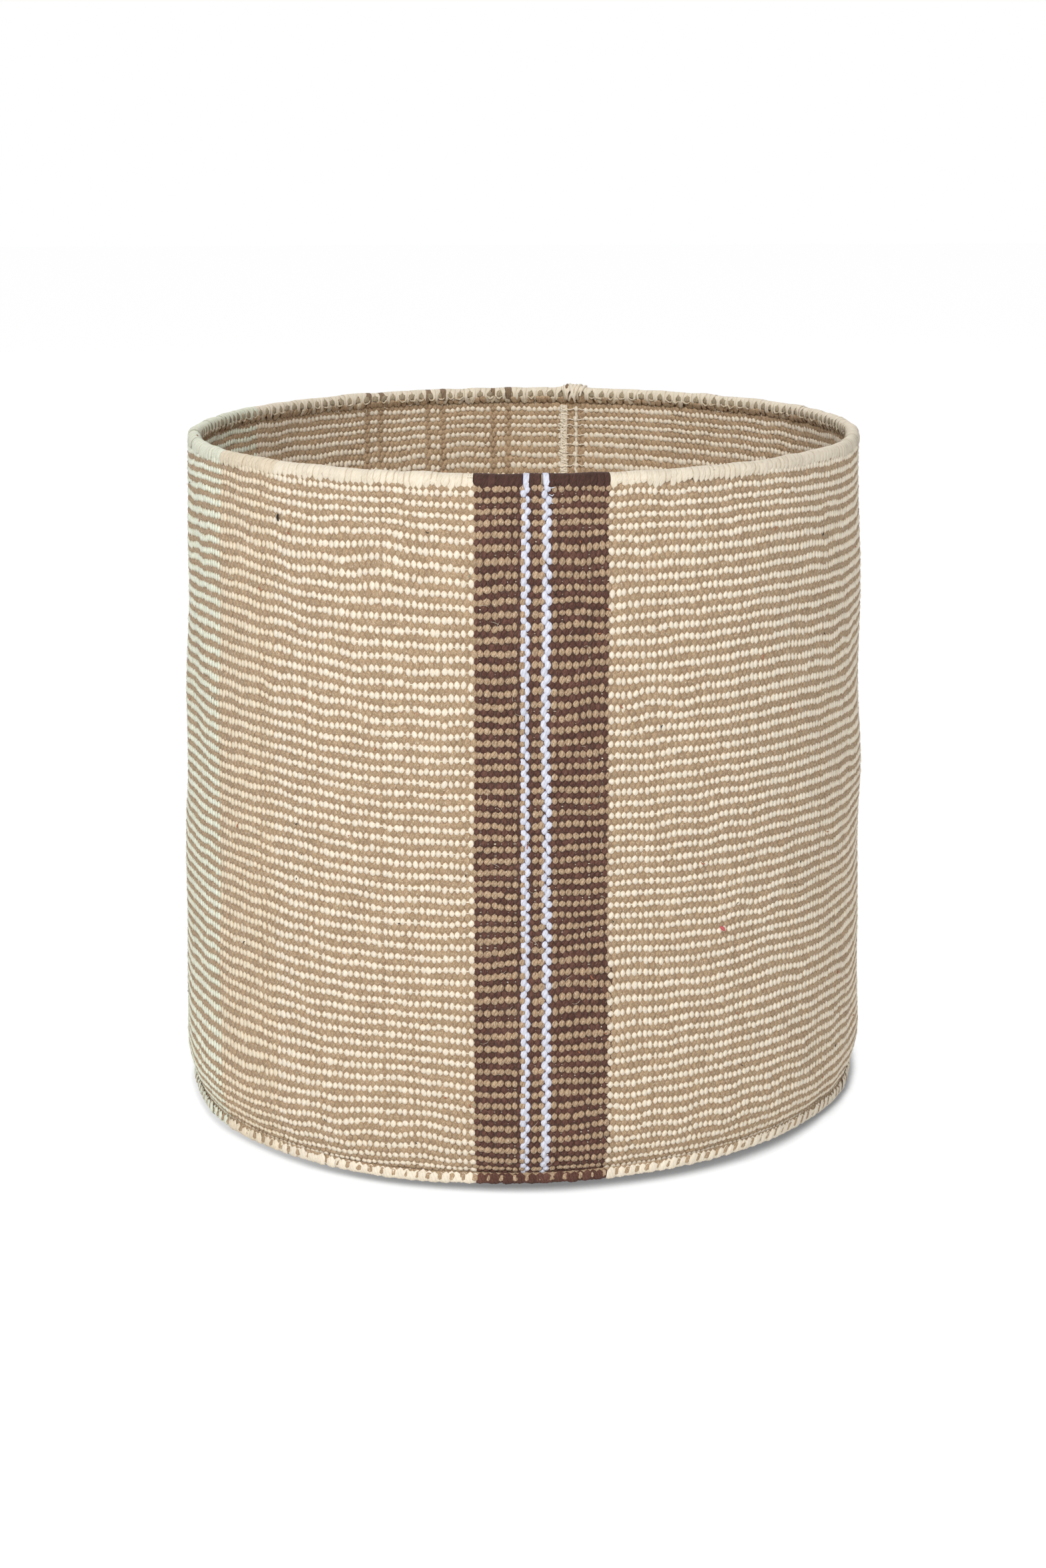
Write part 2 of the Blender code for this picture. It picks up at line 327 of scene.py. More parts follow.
# One float of yarn. Its width and tip are half sizes, in shares of the pitch of the pairs and of the rows,
# its rise, waist and dip are shares of its own size, and its root and crown are heights on the cloth in mm
beadShapes = {
    "light": {"sides": 8, "width": 0.495, "tip": 0.365, "round": (0.98, 0.80),
              "rise": 0.72, "waist": 0.84, "dip": 0.22, "root": -0.55, "crown": 0.22},
    "lightBack": {"sides": 6, "width": 0.495, "tip": 0.365, "round": (1, 0.82),
                  "rise": 0.72, "waist": 0.84, "dip": 0.22, "root": -0.55, "crown": 0.22},
    "lightPlain": {"sides": 6, "width": 0.505, "tip": 0.335, "round": (1, 0.84),
                   "rise": 0.66, "waist": 0.88, "dip": 0.22, "root": -0.50, "crown": 0.28},
    "sand": {"sides": 6, "width": 0.515, "tip": 0.38, "round": (1, 0.78),
             "rise": 0.72, "waist": 0.80, "dip": 0.25, "root": -0.58, "crown": 0.04},
    "sandPlain": {"sides": 6, "width": 0.53, "tip": 0.385, "round": (1, 0.78),
                  "rise": 0.72, "waist": 0.86, "dip": 0.22, "root": -0.42, "crown": 0.08},
    "stripeDark": {"sides": 8, "width": 0.50, "tip": 0.36, "round": (0.92, 0.84),
                   "rise": 0.72, "waist": 0.82, "dip": 0.24, "root": -0.60, "crown": 0.16},
    "stripeSand": {"sides": 8, "width": 0.55, "tip": 0.365, "round": (0.96, 0.88),
                   "rise": 0.70, "waist": 0.84, "dip": 0.20, "root": -0.60, "crown": 0.28},
    "line": {"sides": 8, "width": 0.54, "tip": 0.43, "round": (0.96, 0.96),
             "rise": 0.66, "waist": 0.80, "dip": 0.16, "root": -0.60, "crown": 0.36},
    "base": {"sides": 6, "width": 0.50, "tip": 0.37, "round": (1, 0.72)},
}
flatTop = 0.62  # how narrow a float of the inside is on top
# heights between which floats and wefts are kept, clear of the bound edges
floatReach = {"outside": (0.0034, 0.2957), "inside": (0.0052, 0.2988), "lightPlain": (0.0052, 0.2922)}
weftReach = {"outside": (0.0060, 0.2950), "inside": (0.0060, 0.2922)}


def beadOutline(name, shape, fill):
    # a lozenge with rounded sides
    s = beadShapes[shape]
    clearSelection()
    bpy.ops.mesh.primitive_circle_add(vertices=s["sides"], radius=1, fill_type=fill, location=(0, 0, 0))
    bead = bpy.context.object
    bead.name = name
    bpy.ops.object.mode_set(mode="EDIT")
    bpy.ops.mesh.select_all(action="SELECT")
    # a circle of six has no point out at its sides
    width = s["width"] if s["sides"] == 8 else s["width"] / math.cos(math.radians(30))
    bpy.ops.transform.resize(value=(width, s["tip"], 1))
    selectPoints(bead.data, lambda co: abs(co.x) > 0.01 and abs(co.y) > 0.01)
    bpy.ops.transform.resize(value=s["round"] + (1,))
    bpy.ops.mesh.select_all(action="SELECT")
    return bead


def plainBead(name):
    # the lozenge as one low dome, for the floor of the basket
    bead = beadOutline(name, "base", "NGON")
    bpy.ops.mesh.poke(offset=1)
    bpy.ops.object.mode_set(mode="OBJECT")
    return bead


def yarnBead(name, shape, flat):
    # the lozenge drawn up, narrowed and poked to a soft crown, or left flat on top
    s = beadShapes[shape]
    bead = beadOutline(name, shape, "NOTHING")
    bpy.ops.mesh.extrude_edges_move(TRANSFORM_OT_translate={"value": (0, 0, s["rise"])})
    bpy.ops.transform.resize(value=(s["waist"], s["waist"], 1))
    if flat:
        bpy.ops.transform.resize(value=(flatTop, 1, 1))
        bpy.ops.transform.translate(value=(0, 0, 1 - s["rise"]))
        bpy.ops.mesh.edge_face_add()
    else:
        bpy.ops.mesh.edge_face_add()
        bpy.ops.mesh.poke(offset=1 - s["rise"])
    selectPoints(bead.data, lambda co: abs(co.x) < 0.01 and abs(co.y) > 0.1 and co.z > 0.5)
    bpy.ops.transform.translate(value=(0, 0, -s["dip"]))
    bpy.ops.object.mode_set(mode="OBJECT")
    return bead


# how much the floats differ: sizes as shares, shifts in pitches, and the lift in metres
floatSpread = {
    "warpWidth": 0.08,
    "warpShift": 0.05,
    "width": 0.08,
    "height": 0.08,
    "lift": 0.00008,
    "lean": 0.14,
    "shiftX": 0.04,
    "shiftY": 0.035,
    "swell": 0.00012,
    "bow": 0.12,
}


def weaveYarn(name, shape, firstPair, pairs, firstRow, across, inside, materials, node, swapPairs=()):
    # a field of floats, one for each pair and row, laid flat and then rolled on to the wall
    s = beadShapes[shape]
    rows = weave["rows"] + 2
    rng = np.random.default_rng([weave["seed"], firstPair + 400, int(firstRow * 2) + 4, int(inside)])
    bead = yarnBead(name, shape, flat=inside)
    size = len(bead.data.vertices)
    faces = len(bead.data.polygons)
    repeatPiece(bead, 0, pairs, 1.0)
    repeatPiece(bead, 1, rows, -1.0)
    mesh = bead.data
    points = readPoints(mesh)
    index = np.arange(len(points)) // size
    column = index % pairs
    row = index // pairs
    beads = pairs * rows
    localX = points[:, 0] - column
    localY = points[:, 1] + row
    localZ = points[:, 2]

    spread = floatSpread
    warpWidth = rng.normal(1, spread["warpWidth"], pairs)[column]
    warpShift = rng.normal(0, spread["warpShift"], pairs)[column]
    beadWidth = rng.normal(1, spread["width"], beads)[index]
    beadHeight = rng.normal(1, spread["height"], beads)[index]
    beadLift = rng.normal(0, spread["lift"], beads)[index]
    beadLean = rng.normal(0, spread["lean"], beads)[index]
    shiftX = rng.normal(0, spread["shiftX"], beads)[index]
    shiftY = rng.normal(0, spread["shiftY"], beads)[index]
    if shape == "line":
        # the white yarn is thicker and bows to and fro
        bow = spread["bow"] if across > 0.5 else -spread["bow"]
        shiftX = shiftX - bow * (2 * localY) ** 2 + 0.5 * bow
    rowNumber = firstRow + row
    x = column + warpShift + shiftX + localX * warpWidth * beadWidth + beadLean * localY
    pair = firstPair + across + column
    y = rowNumber + shiftY - localY * beadHeight + weave["wander"] * smallWander(pair, rowNumber, 5)
    angle = (firstPair + across + x) * weave["pairAngle"]
    height = rowPlace(angle, y)
    angle = angle + warpDrift(angle, height)
    swell = spread["swell"] * smallWander(pair, rowNumber, 9)
    root = s["root"] * 0.001
    crown = s["crown"] * 0.001
    lift = root + (crown - root) * localZ + (beadLift + swell) * localZ
    writePoints(mesh, wallPoints(angle, height, insideLift(lift) if inside else lift))
    if not inside:
        mesh.flip_normals()

    middleAngle = pair * weave["pairAngle"]
    dull, cool = dyeLots(middleAngle)
    chance = rng.random(beads)[index]
    along = localY * 5.0 + rng.random(beads)[index] * 60
    fibre = np.stack([localX * weave["pairWidth"], along, column * 3.7 + row * 1.3], axis=1)
    # painted shade: the root tint darkens each float towards its root, as localZ says
    writeYarn(mesh, fibre, chance, dull, localZ, cool)
    finishPiece(bead, materials, [node])
    if swapPairs:
        faceColumn = (np.arange(len(mesh.polygons)) // faces) % pairs + firstPair
        pickMaterials(mesh, np.isin(faceColumn, list(swapPairs)))
    middle = rowPlace(middleAngle, rowNumber)
    low, high = floatReach[shape if shape in floatReach else "inside" if inside else "outside"]
    dropPoints(bead, (middle > high) | (middle < low))


# the weft is a band that falls away from its middle line to both edges
weft = {
    "segments": 180,
    "halfWidth": 0.00042,
    "lift": -0.00030,
    "edgeDrop": 0.0006,
    "stripeDrop": 0.00022,
    "lumps": 0.00018,
    "fineLumps": 0.00010,
}


def weftRings(name, firstRow, material, inside):
    # the thin weft, seen as small links between the floats of one row
    clearSelection()
    bpy.ops.mesh.primitive_grid_add(x_subdivisions=weft["segments"], y_subdivisions=2, size=2,
                                    location=(0, 0, 0))
    ring = bpy.context.object
    ring.name = name
    size = len(ring.data.vertices)
    repeatPiece(ring, 1, weave["rows"] + 2, 4.0)
    mesh = ring.data
    points = readPoints(mesh)
    row = np.arange(len(points)) // size
    side = points[:, 1] - 4.0 * row
    pair = (points[:, 0] + 1) * weave["pairs"] / 2
    angle = np.radians(pair + 0.75)
    y = firstRow + row + weave["wander"] * smallWander(pair, firstRow + row, 5)
    height = rowPlace(angle, y) + side * weft["halfWidth"]
    depth = weft["lift"] - weft["edgeDrop"] * np.abs(side)
    depth = depth + weft["lumps"] * smallWander(pair * 5, row * 3.1, 12)
    depth = depth + weft["fineLumps"] * smallWander(pair * 9, row * 7.3, 13)
    depth = depth - weft["stripeDrop"] * (np.abs(turned(angle)) < weave["stripe"])
    writePoints(mesh, wallPoints(angle, height, insideLift(depth) if inside else depth))
    if inside:
        mesh.flip_normals()
    dull, cool = dyeLots(angle)
    fibre = np.stack([pair * weave["pairWidth"], side * 0.5, row], axis=1)
    # painted shade: the weft darkens towards its edges, through the root tint
    writeYarn(mesh, fibre, 0.6, dull, 1 - 0.6 * np.abs(side), cool)
    mergeSeam()
    finishPiece(ring, [material], [])
    points = readPoints(mesh)
    low, high = weftReach["inside" if inside else "outside"]
    dropPoints(ring, (points[:, 2] > high) | (points[:, 2] < low))


# the seam at the back: its angles in degrees round from the stripe, and the heights that it runs between
seam = {
    "join": 168,
    "knot": 167.6,
    "knotReach": 2.4,
    "chain": 169.55,
    "core": (169.15, 169.6, 170.0),
    "beside": 167.15,
    "chainStrands": 860,
    "strandsInRow": 14.8,
    "low": 0.0080,
    "high": 0.2920,
}
clearOfFloor = 0.00004  # no strand of the foot goes lower


def wrapStrands(name, strands, path, roll, materials, nodes, seed, across=6, along=12):
    # flat strips, each domed across, laid over a bound edge from the start of its path to the end.
    # In strands, out, in and lean are in degrees, turn and the tapers in shares of the path, and sizes in
    # metres. length is the run of the fibre pattern in mm, point is how blunt the start is, and edge is
    # how strongly painted shade darkens the sides
    rng = np.random.default_rng([seed, 21])
    clearSelection()
    bpy.ops.mesh.primitive_grid_add(x_subdivisions=across, y_subdivisions=along, size=1, location=(0, 0, 0))
    strip = bpy.context.object
    strip.name = name
    size = len(strip.data.vertices)
    faces = len(strip.data.polygons)
    count = len(strands["out"])
    repeatPiece(strip, 0, count, 2.0)
    mesh = strip.data
    points = readPoints(mesh)
    index = np.arange(len(points)) // size
    x = points[:, 0] - 2.0 * index
    t = points[:, 1] + 0.5

    def each(key):
        return np.broadcast_to(np.asarray(strands.get(key, 0), float), count)[index]

    # the route of the strand over the edge, and the direction square to it
    outs, ups = np.array(path, float).T * 0.001
    around = np.hypot(np.diff(outs), np.diff(ups))
    stations = np.concatenate([[0], np.cumsum(around)]) / around.sum()
    out = np.interp(t, stations, outs)
    up = np.interp(t, stations, ups)
    slopeOut = np.interp(t + 0.03, stations, outs) - np.interp(t - 0.03, stations, outs)
    slopeUp = np.interp(t + 0.03, stations, ups) - np.interp(t - 0.03, stations, ups)
    slope = np.sqrt(slopeOut ** 2 + slopeUp ** 2) + 1e-9
    facing = 1 if np.mean(out * slopeUp - up * slopeOut) > 0 else -1
    normalOut = facing * slopeUp / slope
    normalUp = -facing * slopeOut / slope

    ease = np.clip(t / strands["startTaper"], 0, 1) ** strands.get("point", 0.7)
    ease = ease * np.clip((1 - t) / strands["endTaper"], 0, 1) ** 0.6
    turnFrom, turnTo = strands["turn"]
    shift = np.clip((t - turnFrom) / (turnTo - turnFrom), 0, 1)
    shift = shift * shift * (3 - 2 * shift)
    width = each("widthOut") + (each("widthIn") - each("widthOut")) * shift
    width = width * (0.12 + 0.88 * ease) * rng.normal(1, 0.06, count)[index]
    dome = each("dome") * (1 - (2 * x) ** 2) * (0.35 + 0.65 * ease)
    plies = np.cos(12.5 * x + 5 * t + rng.uniform(0, 6, count)[index])
    dome = dome + strands["ply"] * plies * (1 - (2 * x) ** 2)
    lift = dome - 0.8 * each("dome") + each("raise") + rng.normal(0, strands["rough"], count)[index]
    centre = each("out") + (each("in") - each("out")) * shift
    centre = centre + each("lean") * np.sin(np.pi * np.clip(t / turnTo, 0, 1))
    lift = lift + strands.get("lumps", 0) * smallWander(1.6 * each("out"), 7 * t, 17)
    centre = centre + rng.normal(0, 0.10, count)[index] * np.sin(3 * t + rng.uniform(0, 6, count)[index])
    centre = np.radians(centre)
    angle = centre + warpDrift(centre, roll["height"]) + x * width / roll["radius"]
    up = up + rng.normal(0, strands["stagger"], count)[index] * (1 - np.clip(t / 0.25, 0, 1))
    # the roll is thicker where the cloth is joined
    apart = np.degrees(turned(angle - math.radians(seam["knot"])))
    lift = lift + strands.get("swell", 0) * bell(apart, 0, seam["knotReach"]) * np.sin(np.pi * t)
    height = np.maximum(roll["height"] + up + lift * normalUp, clearOfFloor)
    radius = roll["radius"] + handShape(angle, height) + out + lift * normalOut
    writePoints(mesh, roundPoints(angle, radius, height))
    if facing > 0:
        mesh.flip_normals()
    dull, cool = dyeLots(np.radians(each("out")))
    chance = rng.random(count)[index]
    along = t * strands["length"] + rng.random(count)[index] * 50
    fibre = np.stack([x * width * 1000, along, index * 2.1], axis=1)
    # painted shade: the sides of each strip are darkened through the root tint, as far as edge says
    writeYarn(mesh, fibre, chance, dull, 1 - (2 * np.abs(x)) ** 2 * strands.get("edge", 0.9), cool)
    finishPiece(strip, materials, nodes)
    picks = np.broadcast_to(strands.get("material", 0), count)
    pickMaterials(mesh, picks[np.arange(len(mesh.polygons)) // faces])


def paddedRing(name, roll, radius, material):
    # the padding under a bound edge
    clearSelection()
    bpy.ops.mesh.primitive_torus_add(major_segments=180, minor_segments=12, major_radius=roll["radius"],
                                     minor_radius=radius, location=(0, 0, 0))
    ring = bpy.context.object
    ring.name = name
    mesh = ring.data
    points = readPoints(mesh)
    angle, far = roundPlace(points[:, 0], points[:, 1])
    height = points[:, 2] + roll["height"]
    writePoints(mesh, roundPoints(angle, far + handShape(angle, height), height))
    writeYarn(mesh, points * 1000)
    finishPiece(ring, [material], [])


def makeThread(name, lines, radius, material, nodes=(), sides=0, ends=1.0):
    # yarn laid along lines of points, as one mesh; its ends may be thinner than its middle
    clearSelection()
    curve = bpy.data.curves.new(name, "CURVE")
    curve.dimensions = "3D"
    curve.bevel_depth = radius
    curve.bevel_resolution = sides
    curve.use_fill_caps = True
    for line in lines:
        spline = curve.splines.new("POLY")
        spline.points.add(len(line) - 1)
        spline.points.foreach_set("co", np.hstack([line, np.ones((len(line), 1))]).ravel())
        middle = np.sin(np.linspace(0, np.pi, len(line))) ** 0.7
        spline.points.foreach_set("radius", ends + (1 - ends) * middle)
    thread = bpy.data.objects.new(name, curve)
    bpy.context.collection.objects.link(thread)
    bpy.context.view_layer.objects.active = thread
    thread.select_set(True)
    bpy.ops.object.convert(target="MESH")
    thread = bpy.context.object
    writeYarn(thread.data, readPoints(thread.data) * 1000)
    finishPiece(thread, [material], nodes)


def feed(tree, socket, value):
    # give a socket a value, or link it to another socket or to the first one of a node
    if isinstance(value, bpy.types.Node):
        value = value.outputs[0]
    if isinstance(value, bpy.types.NodeSocket):
        tree.links.new(value, socket)
    else:
        socket.default_value = value


def addNode(tree, kind, inputs, **settings):
    # a shader node, its inputs by name or number, and its settings
    node = tree.nodes.new("ShaderNode" + kind)
    for setting, value in settings.items():
        setattr(node, setting, value)
    for key, value in inputs.items():
        feed(tree, node.inputs[key], value)
    return node


def addRamp(tree, factor, stops):
    ramp = addNode(tree, "ValToRGB", {"Fac": factor})
    elements = ramp.color_ramp.elements
    if len(stops) > 2:
        elements.new(0.5)
    for element, (position, colour) in zip(elements, stops):
        element.position = position
        element.color = (*colour, 1)
    return ramp


def addTint(tree, colour, tint, factor=1.0):
    # colour multiplied by a tint, as far as the factor says
    tint = (*tint, 1) if isinstance(tint, tuple) else tint
    mix = addNode(tree, "Mix", {}, data_type="RGBA", blend_type="MULTIPLY")
    feed(tree, mix.inputs["Factor"], factor)
    feed(tree, mix.inputs[6], colour)
    feed(tree, mix.inputs[7], tint)
    return mix.outputs[2]


def startMaterial(name, inputs):
    material = bpy.data.materials.new(name)
    material.use_nodes = True
    tree = material.node_tree
    shader = tree.nodes["Principled BSDF"]
    for key, value in inputs.items():
        feed(tree, shader.inputs[key], value)
    return material, tree, shader


def yarnMaterial(name, base, dark, light, root, mottle=0.35, flecks=(), lots=False, ply=0.2, bump=0.5,
                 sheen=0.15, grain=(2.6, 0.9)):
    material, tree, shader = startMaterial(name, {
        "Sheen Weight": sheen,
        "Sheen Roughness": 0.6,
        "Specular IOR Level": 0.15,
    })
    fibre = addNode(tree, "Attribute", {}, attribute_name="fibre").outputs["Vector"]
    tone = addNode(tree, "Attribute", {}, attribute_name="yarnToneAndShade")
    split = addNode(tree, "SeparateColor", {"Color": tone.outputs["Color"]})

    # fibres run along the yarn at a slant
    turn = addNode(tree, "Mapping", {"Vector": fibre, "Rotation": (0, 0, math.radians(24))})
    stretch = addNode(tree, "Mapping", {"Vector": turn, "Scale": (*grain, 1)})
    streak = addNode(tree, "TexNoise", {"Vector": stretch, "Scale": 1.0, "Detail": 3, "Roughness": 0.65})
    colour = addRamp(tree, streak, [(0.30, dark), (0.5, base), (0.72, light)])

    # each float differs a little from the next
    shade = addNode(tree, "MapRange", {
        "Value": split.outputs["Red"],
        "To Min": 1 - 0.5 * mottle,
        "To Max": 1 + 0.5 * mottle,
    })
    colour = addTint(tree, colour, shade)

    # two plies twisted together leave a slanting groove, drawn as bump and as painted shade that darkens the
    # colour in it
    phase = addNode(tree, "Math", {0: split.outputs["Red"], 1: 6.28}, operation="MULTIPLY")
    twist = addNode(tree, "TexWave", {
        "Vector": turn,
        "Scale": 0.25,
        "Distortion": 1.6,
        "Detail": 1,
        "Phase Offset": phase,
    })
    grooveAndShade = addNode(tree, "MapRange", {"Value": twist.outputs["Fac"], "From Max": 0.35, "To Min": 1 - ply})
    colour = addTint(tree, colour, grooveAndShade)

    for number, (fleckColour, size, rarity) in enumerate(flecks):
        place = addNode(tree, "Mapping", {
            "Vector": fibre,
            "Location": (number * 13.7, number * 5.1, number * 2.3),
            "Scale": (size, size * 0.45, size),
        })
        spots = addNode(tree, "TexNoise", {"Vector": place, "Scale": 1.0, "Detail": 1})
        pick = addNode(tree, "MapRange", {
            "Value": spots,
            "From Min": rarity,
            "From Max": rarity + 0.05,
            "To Max": 0.75,
        })
        mix = addNode(tree, "Mix", {"Factor": pick}, data_type="RGBA")
        feed(tree, mix.inputs[6], colour)
        feed(tree, mix.inputs[7], (*fleckColour, 1))
        colour = mix.outputs[2]

    if lots:
        colour = addTint(tree, colour, dyeTints["dull"], split.outputs["Green"])
        colour = addTint(tree, colour, dyeTints["cool"], tone.outputs["Alpha"])

    # painted shade: the root tint darkens the low parts and sides of a float, as the height says, where
    # shade falls among the floats
    depth = addRamp(tree, split.outputs["Blue"], [(0.10, root), (0.65, (1, 1, 1))])
    feed(tree, shader.inputs["Base Color"], addTint(tree, colour, depth))
    rough = addNode(tree, "MapRange", {"Value": streak, "To Min": 0.82, "To Max": 0.98})
    feed(tree, shader.inputs["Roughness"], rough)
    height = addNode(tree, "Math", {0: grooveAndShade, 1: 2.5 * ply, 2: streak}, operation="MULTIPLY_ADD")
    relief = addNode(tree, "Bump", {"Height": height, "Strength": bump, "Distance": 0.0003})
    feed(tree, shader.inputs["Normal"], relief)
    return material


print("materials")
dyeTints = {"dull": (0.96, 0.93, 0.875), "cool": (0.96, 1.10, 1.12)}
# flecks of other dyes in the sand yarn: colour, size, and how rare they are
mottledFlecks = (
    ((0.20, 0.13, 0.08), 2.2, 0.66),
    ((0.80, 0.70, 0.55), 2.6, 0.66),
    ((0.52, 0.22, 0.14), 1.1, 0.74),
    ((0.30, 0.36, 0.28), 1.0, 0.75),
)
# the colours are the yarn's own, its darkest and lightest fibres, and a tint of painted shade for the root
# of a float
creamYarn = yarnMaterial("creamYarn", (0.925, 0.83, 0.675), (0.85, 0.735, 0.565), (0.955, 0.885, 0.755),
                         (0.76, 0.64, 0.50), mottle=0.10, lots=True, ply=0.10, bump=0.35)
rimYarn = yarnMaterial("rimYarn", (0.89, 0.79, 0.63), (0.76, 0.65, 0.49), (0.95, 0.87, 0.72),
                       (0.66, 0.58, 0.49), mottle=0.08, lots=True, ply=0.0, bump=0.8, grain=(3.4, 0.35))
sandYarn = yarnMaterial("sandYarn", (0.465, 0.325, 0.198), (0.28, 0.187, 0.108), (0.71, 0.545, 0.365),
                        (0.84, 0.79, 0.74), mottle=0.20, flecks=mottledFlecks, ply=0.12, grain=(5.2, 1.8))
# painted light: a lighter copy of the sand yarn, for the inside, where less light falls
sandInsidePaintedLight = yarnMaterial("sandInsidePaintedLight", (0.53, 0.37, 0.222), (0.335, 0.225, 0.13),
                              (0.765, 0.58, 0.39), (0.86, 0.80, 0.75), mottle=0.20,
                              flecks=mottledFlecks, ply=0.12, grain=(5.2, 1.8))
stripeSandYarn = yarnMaterial("stripeSandYarn", (0.51, 0.352, 0.217), (0.31, 0.21, 0.13),
                              (0.70, 0.53, 0.37), (0.34, 0.27, 0.24), mottle=0.20,
                              flecks=mottledFlecks[:2], ply=0.35, grain=(4.2, 1.4))
darkYarn = yarnMaterial("darkYarn", (0.134, 0.062, 0.045), (0.080, 0.039, 0.030), (0.190, 0.100, 0.076),
                        (0.55, 0.50, 0.50), mottle=0.4, ply=0.25, sheen=0.04)
rimDarkYarn = yarnMaterial("rimDarkYarn", (0.080, 0.040, 0.031), (0.048, 0.024, 0.019),
                           (0.125, 0.066, 0.051), (0.60, 0.56, 0.56), mottle=0.25, ply=0.0, bump=0.8,
                           sheen=0.04, grain=(3.4, 0.35))
whiteYarn = yarnMaterial("whiteYarn", (0.76, 0.78, 0.88), (0.62, 0.65, 0.77), (0.86, 0.87, 0.94),
                         (0.56, 0.56, 0.68), mottle=0.14, ply=0.16, bump=0.4)
groundYarn = yarnMaterial("groundYarn", (0.40, 0.285, 0.18), (0.29, 0.20, 0.125), (0.50, 0.375, 0.26),
                          (1, 1, 1), mottle=0.1, ply=0.0)
stripeGroundYarn = yarnMaterial("stripeGroundYarn", (0.105, 0.06, 0.044), (0.07, 0.038, 0.028),
                                (0.15, 0.09, 0.066), (1, 1, 1), mottle=0.1, ply=0.0)
brownWrapYarn = yarnMaterial("brownWrapYarn", (0.27, 0.185, 0.115), (0.17, 0.115, 0.07), (0.40, 0.29, 0.19),
                             (0.6, 0.55, 0.5), mottle=0.2, ply=0.0, bump=0.8, grain=(3.4, 0.6))
dullYarn = yarnMaterial("dullYarn", (0.74, 0.64, 0.48), (0.56, 0.46, 0.32), (0.88, 0.79, 0.63),
                        (0.8, 0.7, 0.6), mottle=0.4, lots=True, ply=0.15, bump=0.6, grain=(3.4, 1.2))
squareYarn = yarnMaterial("squareYarn", (0.48, 0.40, 0.275), (0.28, 0.215, 0.135), (0.58, 0.47, 0.32),
                          (0.75, 0.70, 0.65), mottle=0.3, ply=0.2, grain=(4.0, 1.4))
groundSheet = {
    "columns": 360,
    "columnsInside": 180,
    "rows": 50,
    "low": 0.004,
    "height": 0.2915,
    "lift": -0.00050,
}


def makeGround(name, inside):
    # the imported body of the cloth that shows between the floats
    s = groundSheet
    clearSelection()
    bpy.ops.mesh.primitive_grid_add(x_subdivisions=s["columnsInside"] if inside else s["columns"],
                                    y_subdivisions=s["rows"], size=1, location=(0, 0, 0))
    ground = bpy.context.object
    ground.name = name
    mesh = ground.data
    points = readPoints(mesh)
    angle = (points[:, 0] + 0.5) * 2 * math.pi
    height = s["low"] + (points[:, 1] + 0.5) * s["height"]
    writePoints(mesh, wallPoints(angle, height, insideLift(s["lift"]) if inside else s["lift"]))
    writeYarn(mesh, points * 400)
    if inside:
        mesh.flip_normals()
    mergeSeam()
    finishPiece(ground, [groundYarn, stripeGroundYarn], [])
    centres = np.empty(len(mesh.polygons) * 3)
    mesh.polygons.foreach_get("center", centres)
    centres = centres.reshape(-1, 3)
    around, far = roundPlace(centres[:, 0], centres[:, 1])
    pickMaterials(mesh, np.abs(around - warpDrift(around, centres[:, 2])) < weave["stripe"])


print("cloth")
makeGround("groundOutside", False)
makeGround("groundInside", True)

# each panel of the wall: its first pair and the one after its last, its two yarns, its slot and its node
panels = (
    ("FieldRight", 10, 89, creamYarn, sandYarn, "cream_and_sand_cloth", "wall_field_right"),
    ("FieldBackRight", 89, 168, creamYarn, sandYarn, "cream_and_sand_cloth", "wall_field_right"),
    ("FieldBackLeft", 168, 259, creamYarn, sandYarn, "cream_and_sand_cloth", "wall_field_left"),
    ("FieldLeft", 259, 350, creamYarn, sandYarn, "cream_and_sand_cloth", "wall_field_left"),
    ("StripeLeft", -10, -3, darkYarn, stripeSandYarn, "dark_brown_yarn", "wall_stripe_left"),
    ("WhiteLineLeft", -3, -2, whiteYarn, whiteYarn, "cool_white_yarn", "wall_white_line_left"),
    ("StripeMiddle", -2, 0, darkYarn, stripeSandYarn, "dark_brown_yarn", "wall_stripe_middle"),
    ("WhiteLineRight", 0, 1, whiteYarn, whiteYarn, "cool_white_yarn", "wall_white_line_right"),
    ("StripeRight", 1, 10, darkYarn, stripeSandYarn, "dark_brown_yarn", "wall_stripe_right"),
)
backLinePairs = (180, 183, 193, 196, 206, 209)  # sand yarn in both layers
insideLinePairs = backLinePairs + (166, 168)  # and beside the seam

for panel, first, last, warpYarn, sandWarp, slot, node in panels:
    count = last - first
    for inside in (False, True):
        side = "Inside" if inside else "Outside"
        shapes = ("lightPlain", "sandPlain") if inside else ("light", "sand")
        places = (0.25, 0.75)
        if "Back" in panel and not inside:
            shapes = ("lightBack", "sand")
        if "Stripe" in panel:
            shapes = ("stripeDark", "stripeSand")
        if "WhiteLine" in panel:
            shapes = ("line", "line")
            places = (0.12, 0.54) if "Left" in panel else (0.27, 0.69)
        # inside, the sand floats take the lighter copy of the sand yarn, painted light
        under = sandInsidePaintedLight if inside and sandWarp is sandYarn else sandWarp
        weaveYarn("light" + panel + side, shapes[0], first, count, -0.5 if inside else 0, places[0], inside,
                  (warpYarn, sandYarn), node, insideLinePairs if inside else backLinePairs)
        weaveYarn("sand" + panel + side, shapes[1], first, count, 0 if inside else -0.5, places[1], inside,
                  (under,), node)
weftRings("weftOutside", 0, creamYarn, False)
weftRings("weftInside", -0.5, creamYarn, True)

print("rim")
rimRoll = {"radius": 0.1463, "height": 0.2971}
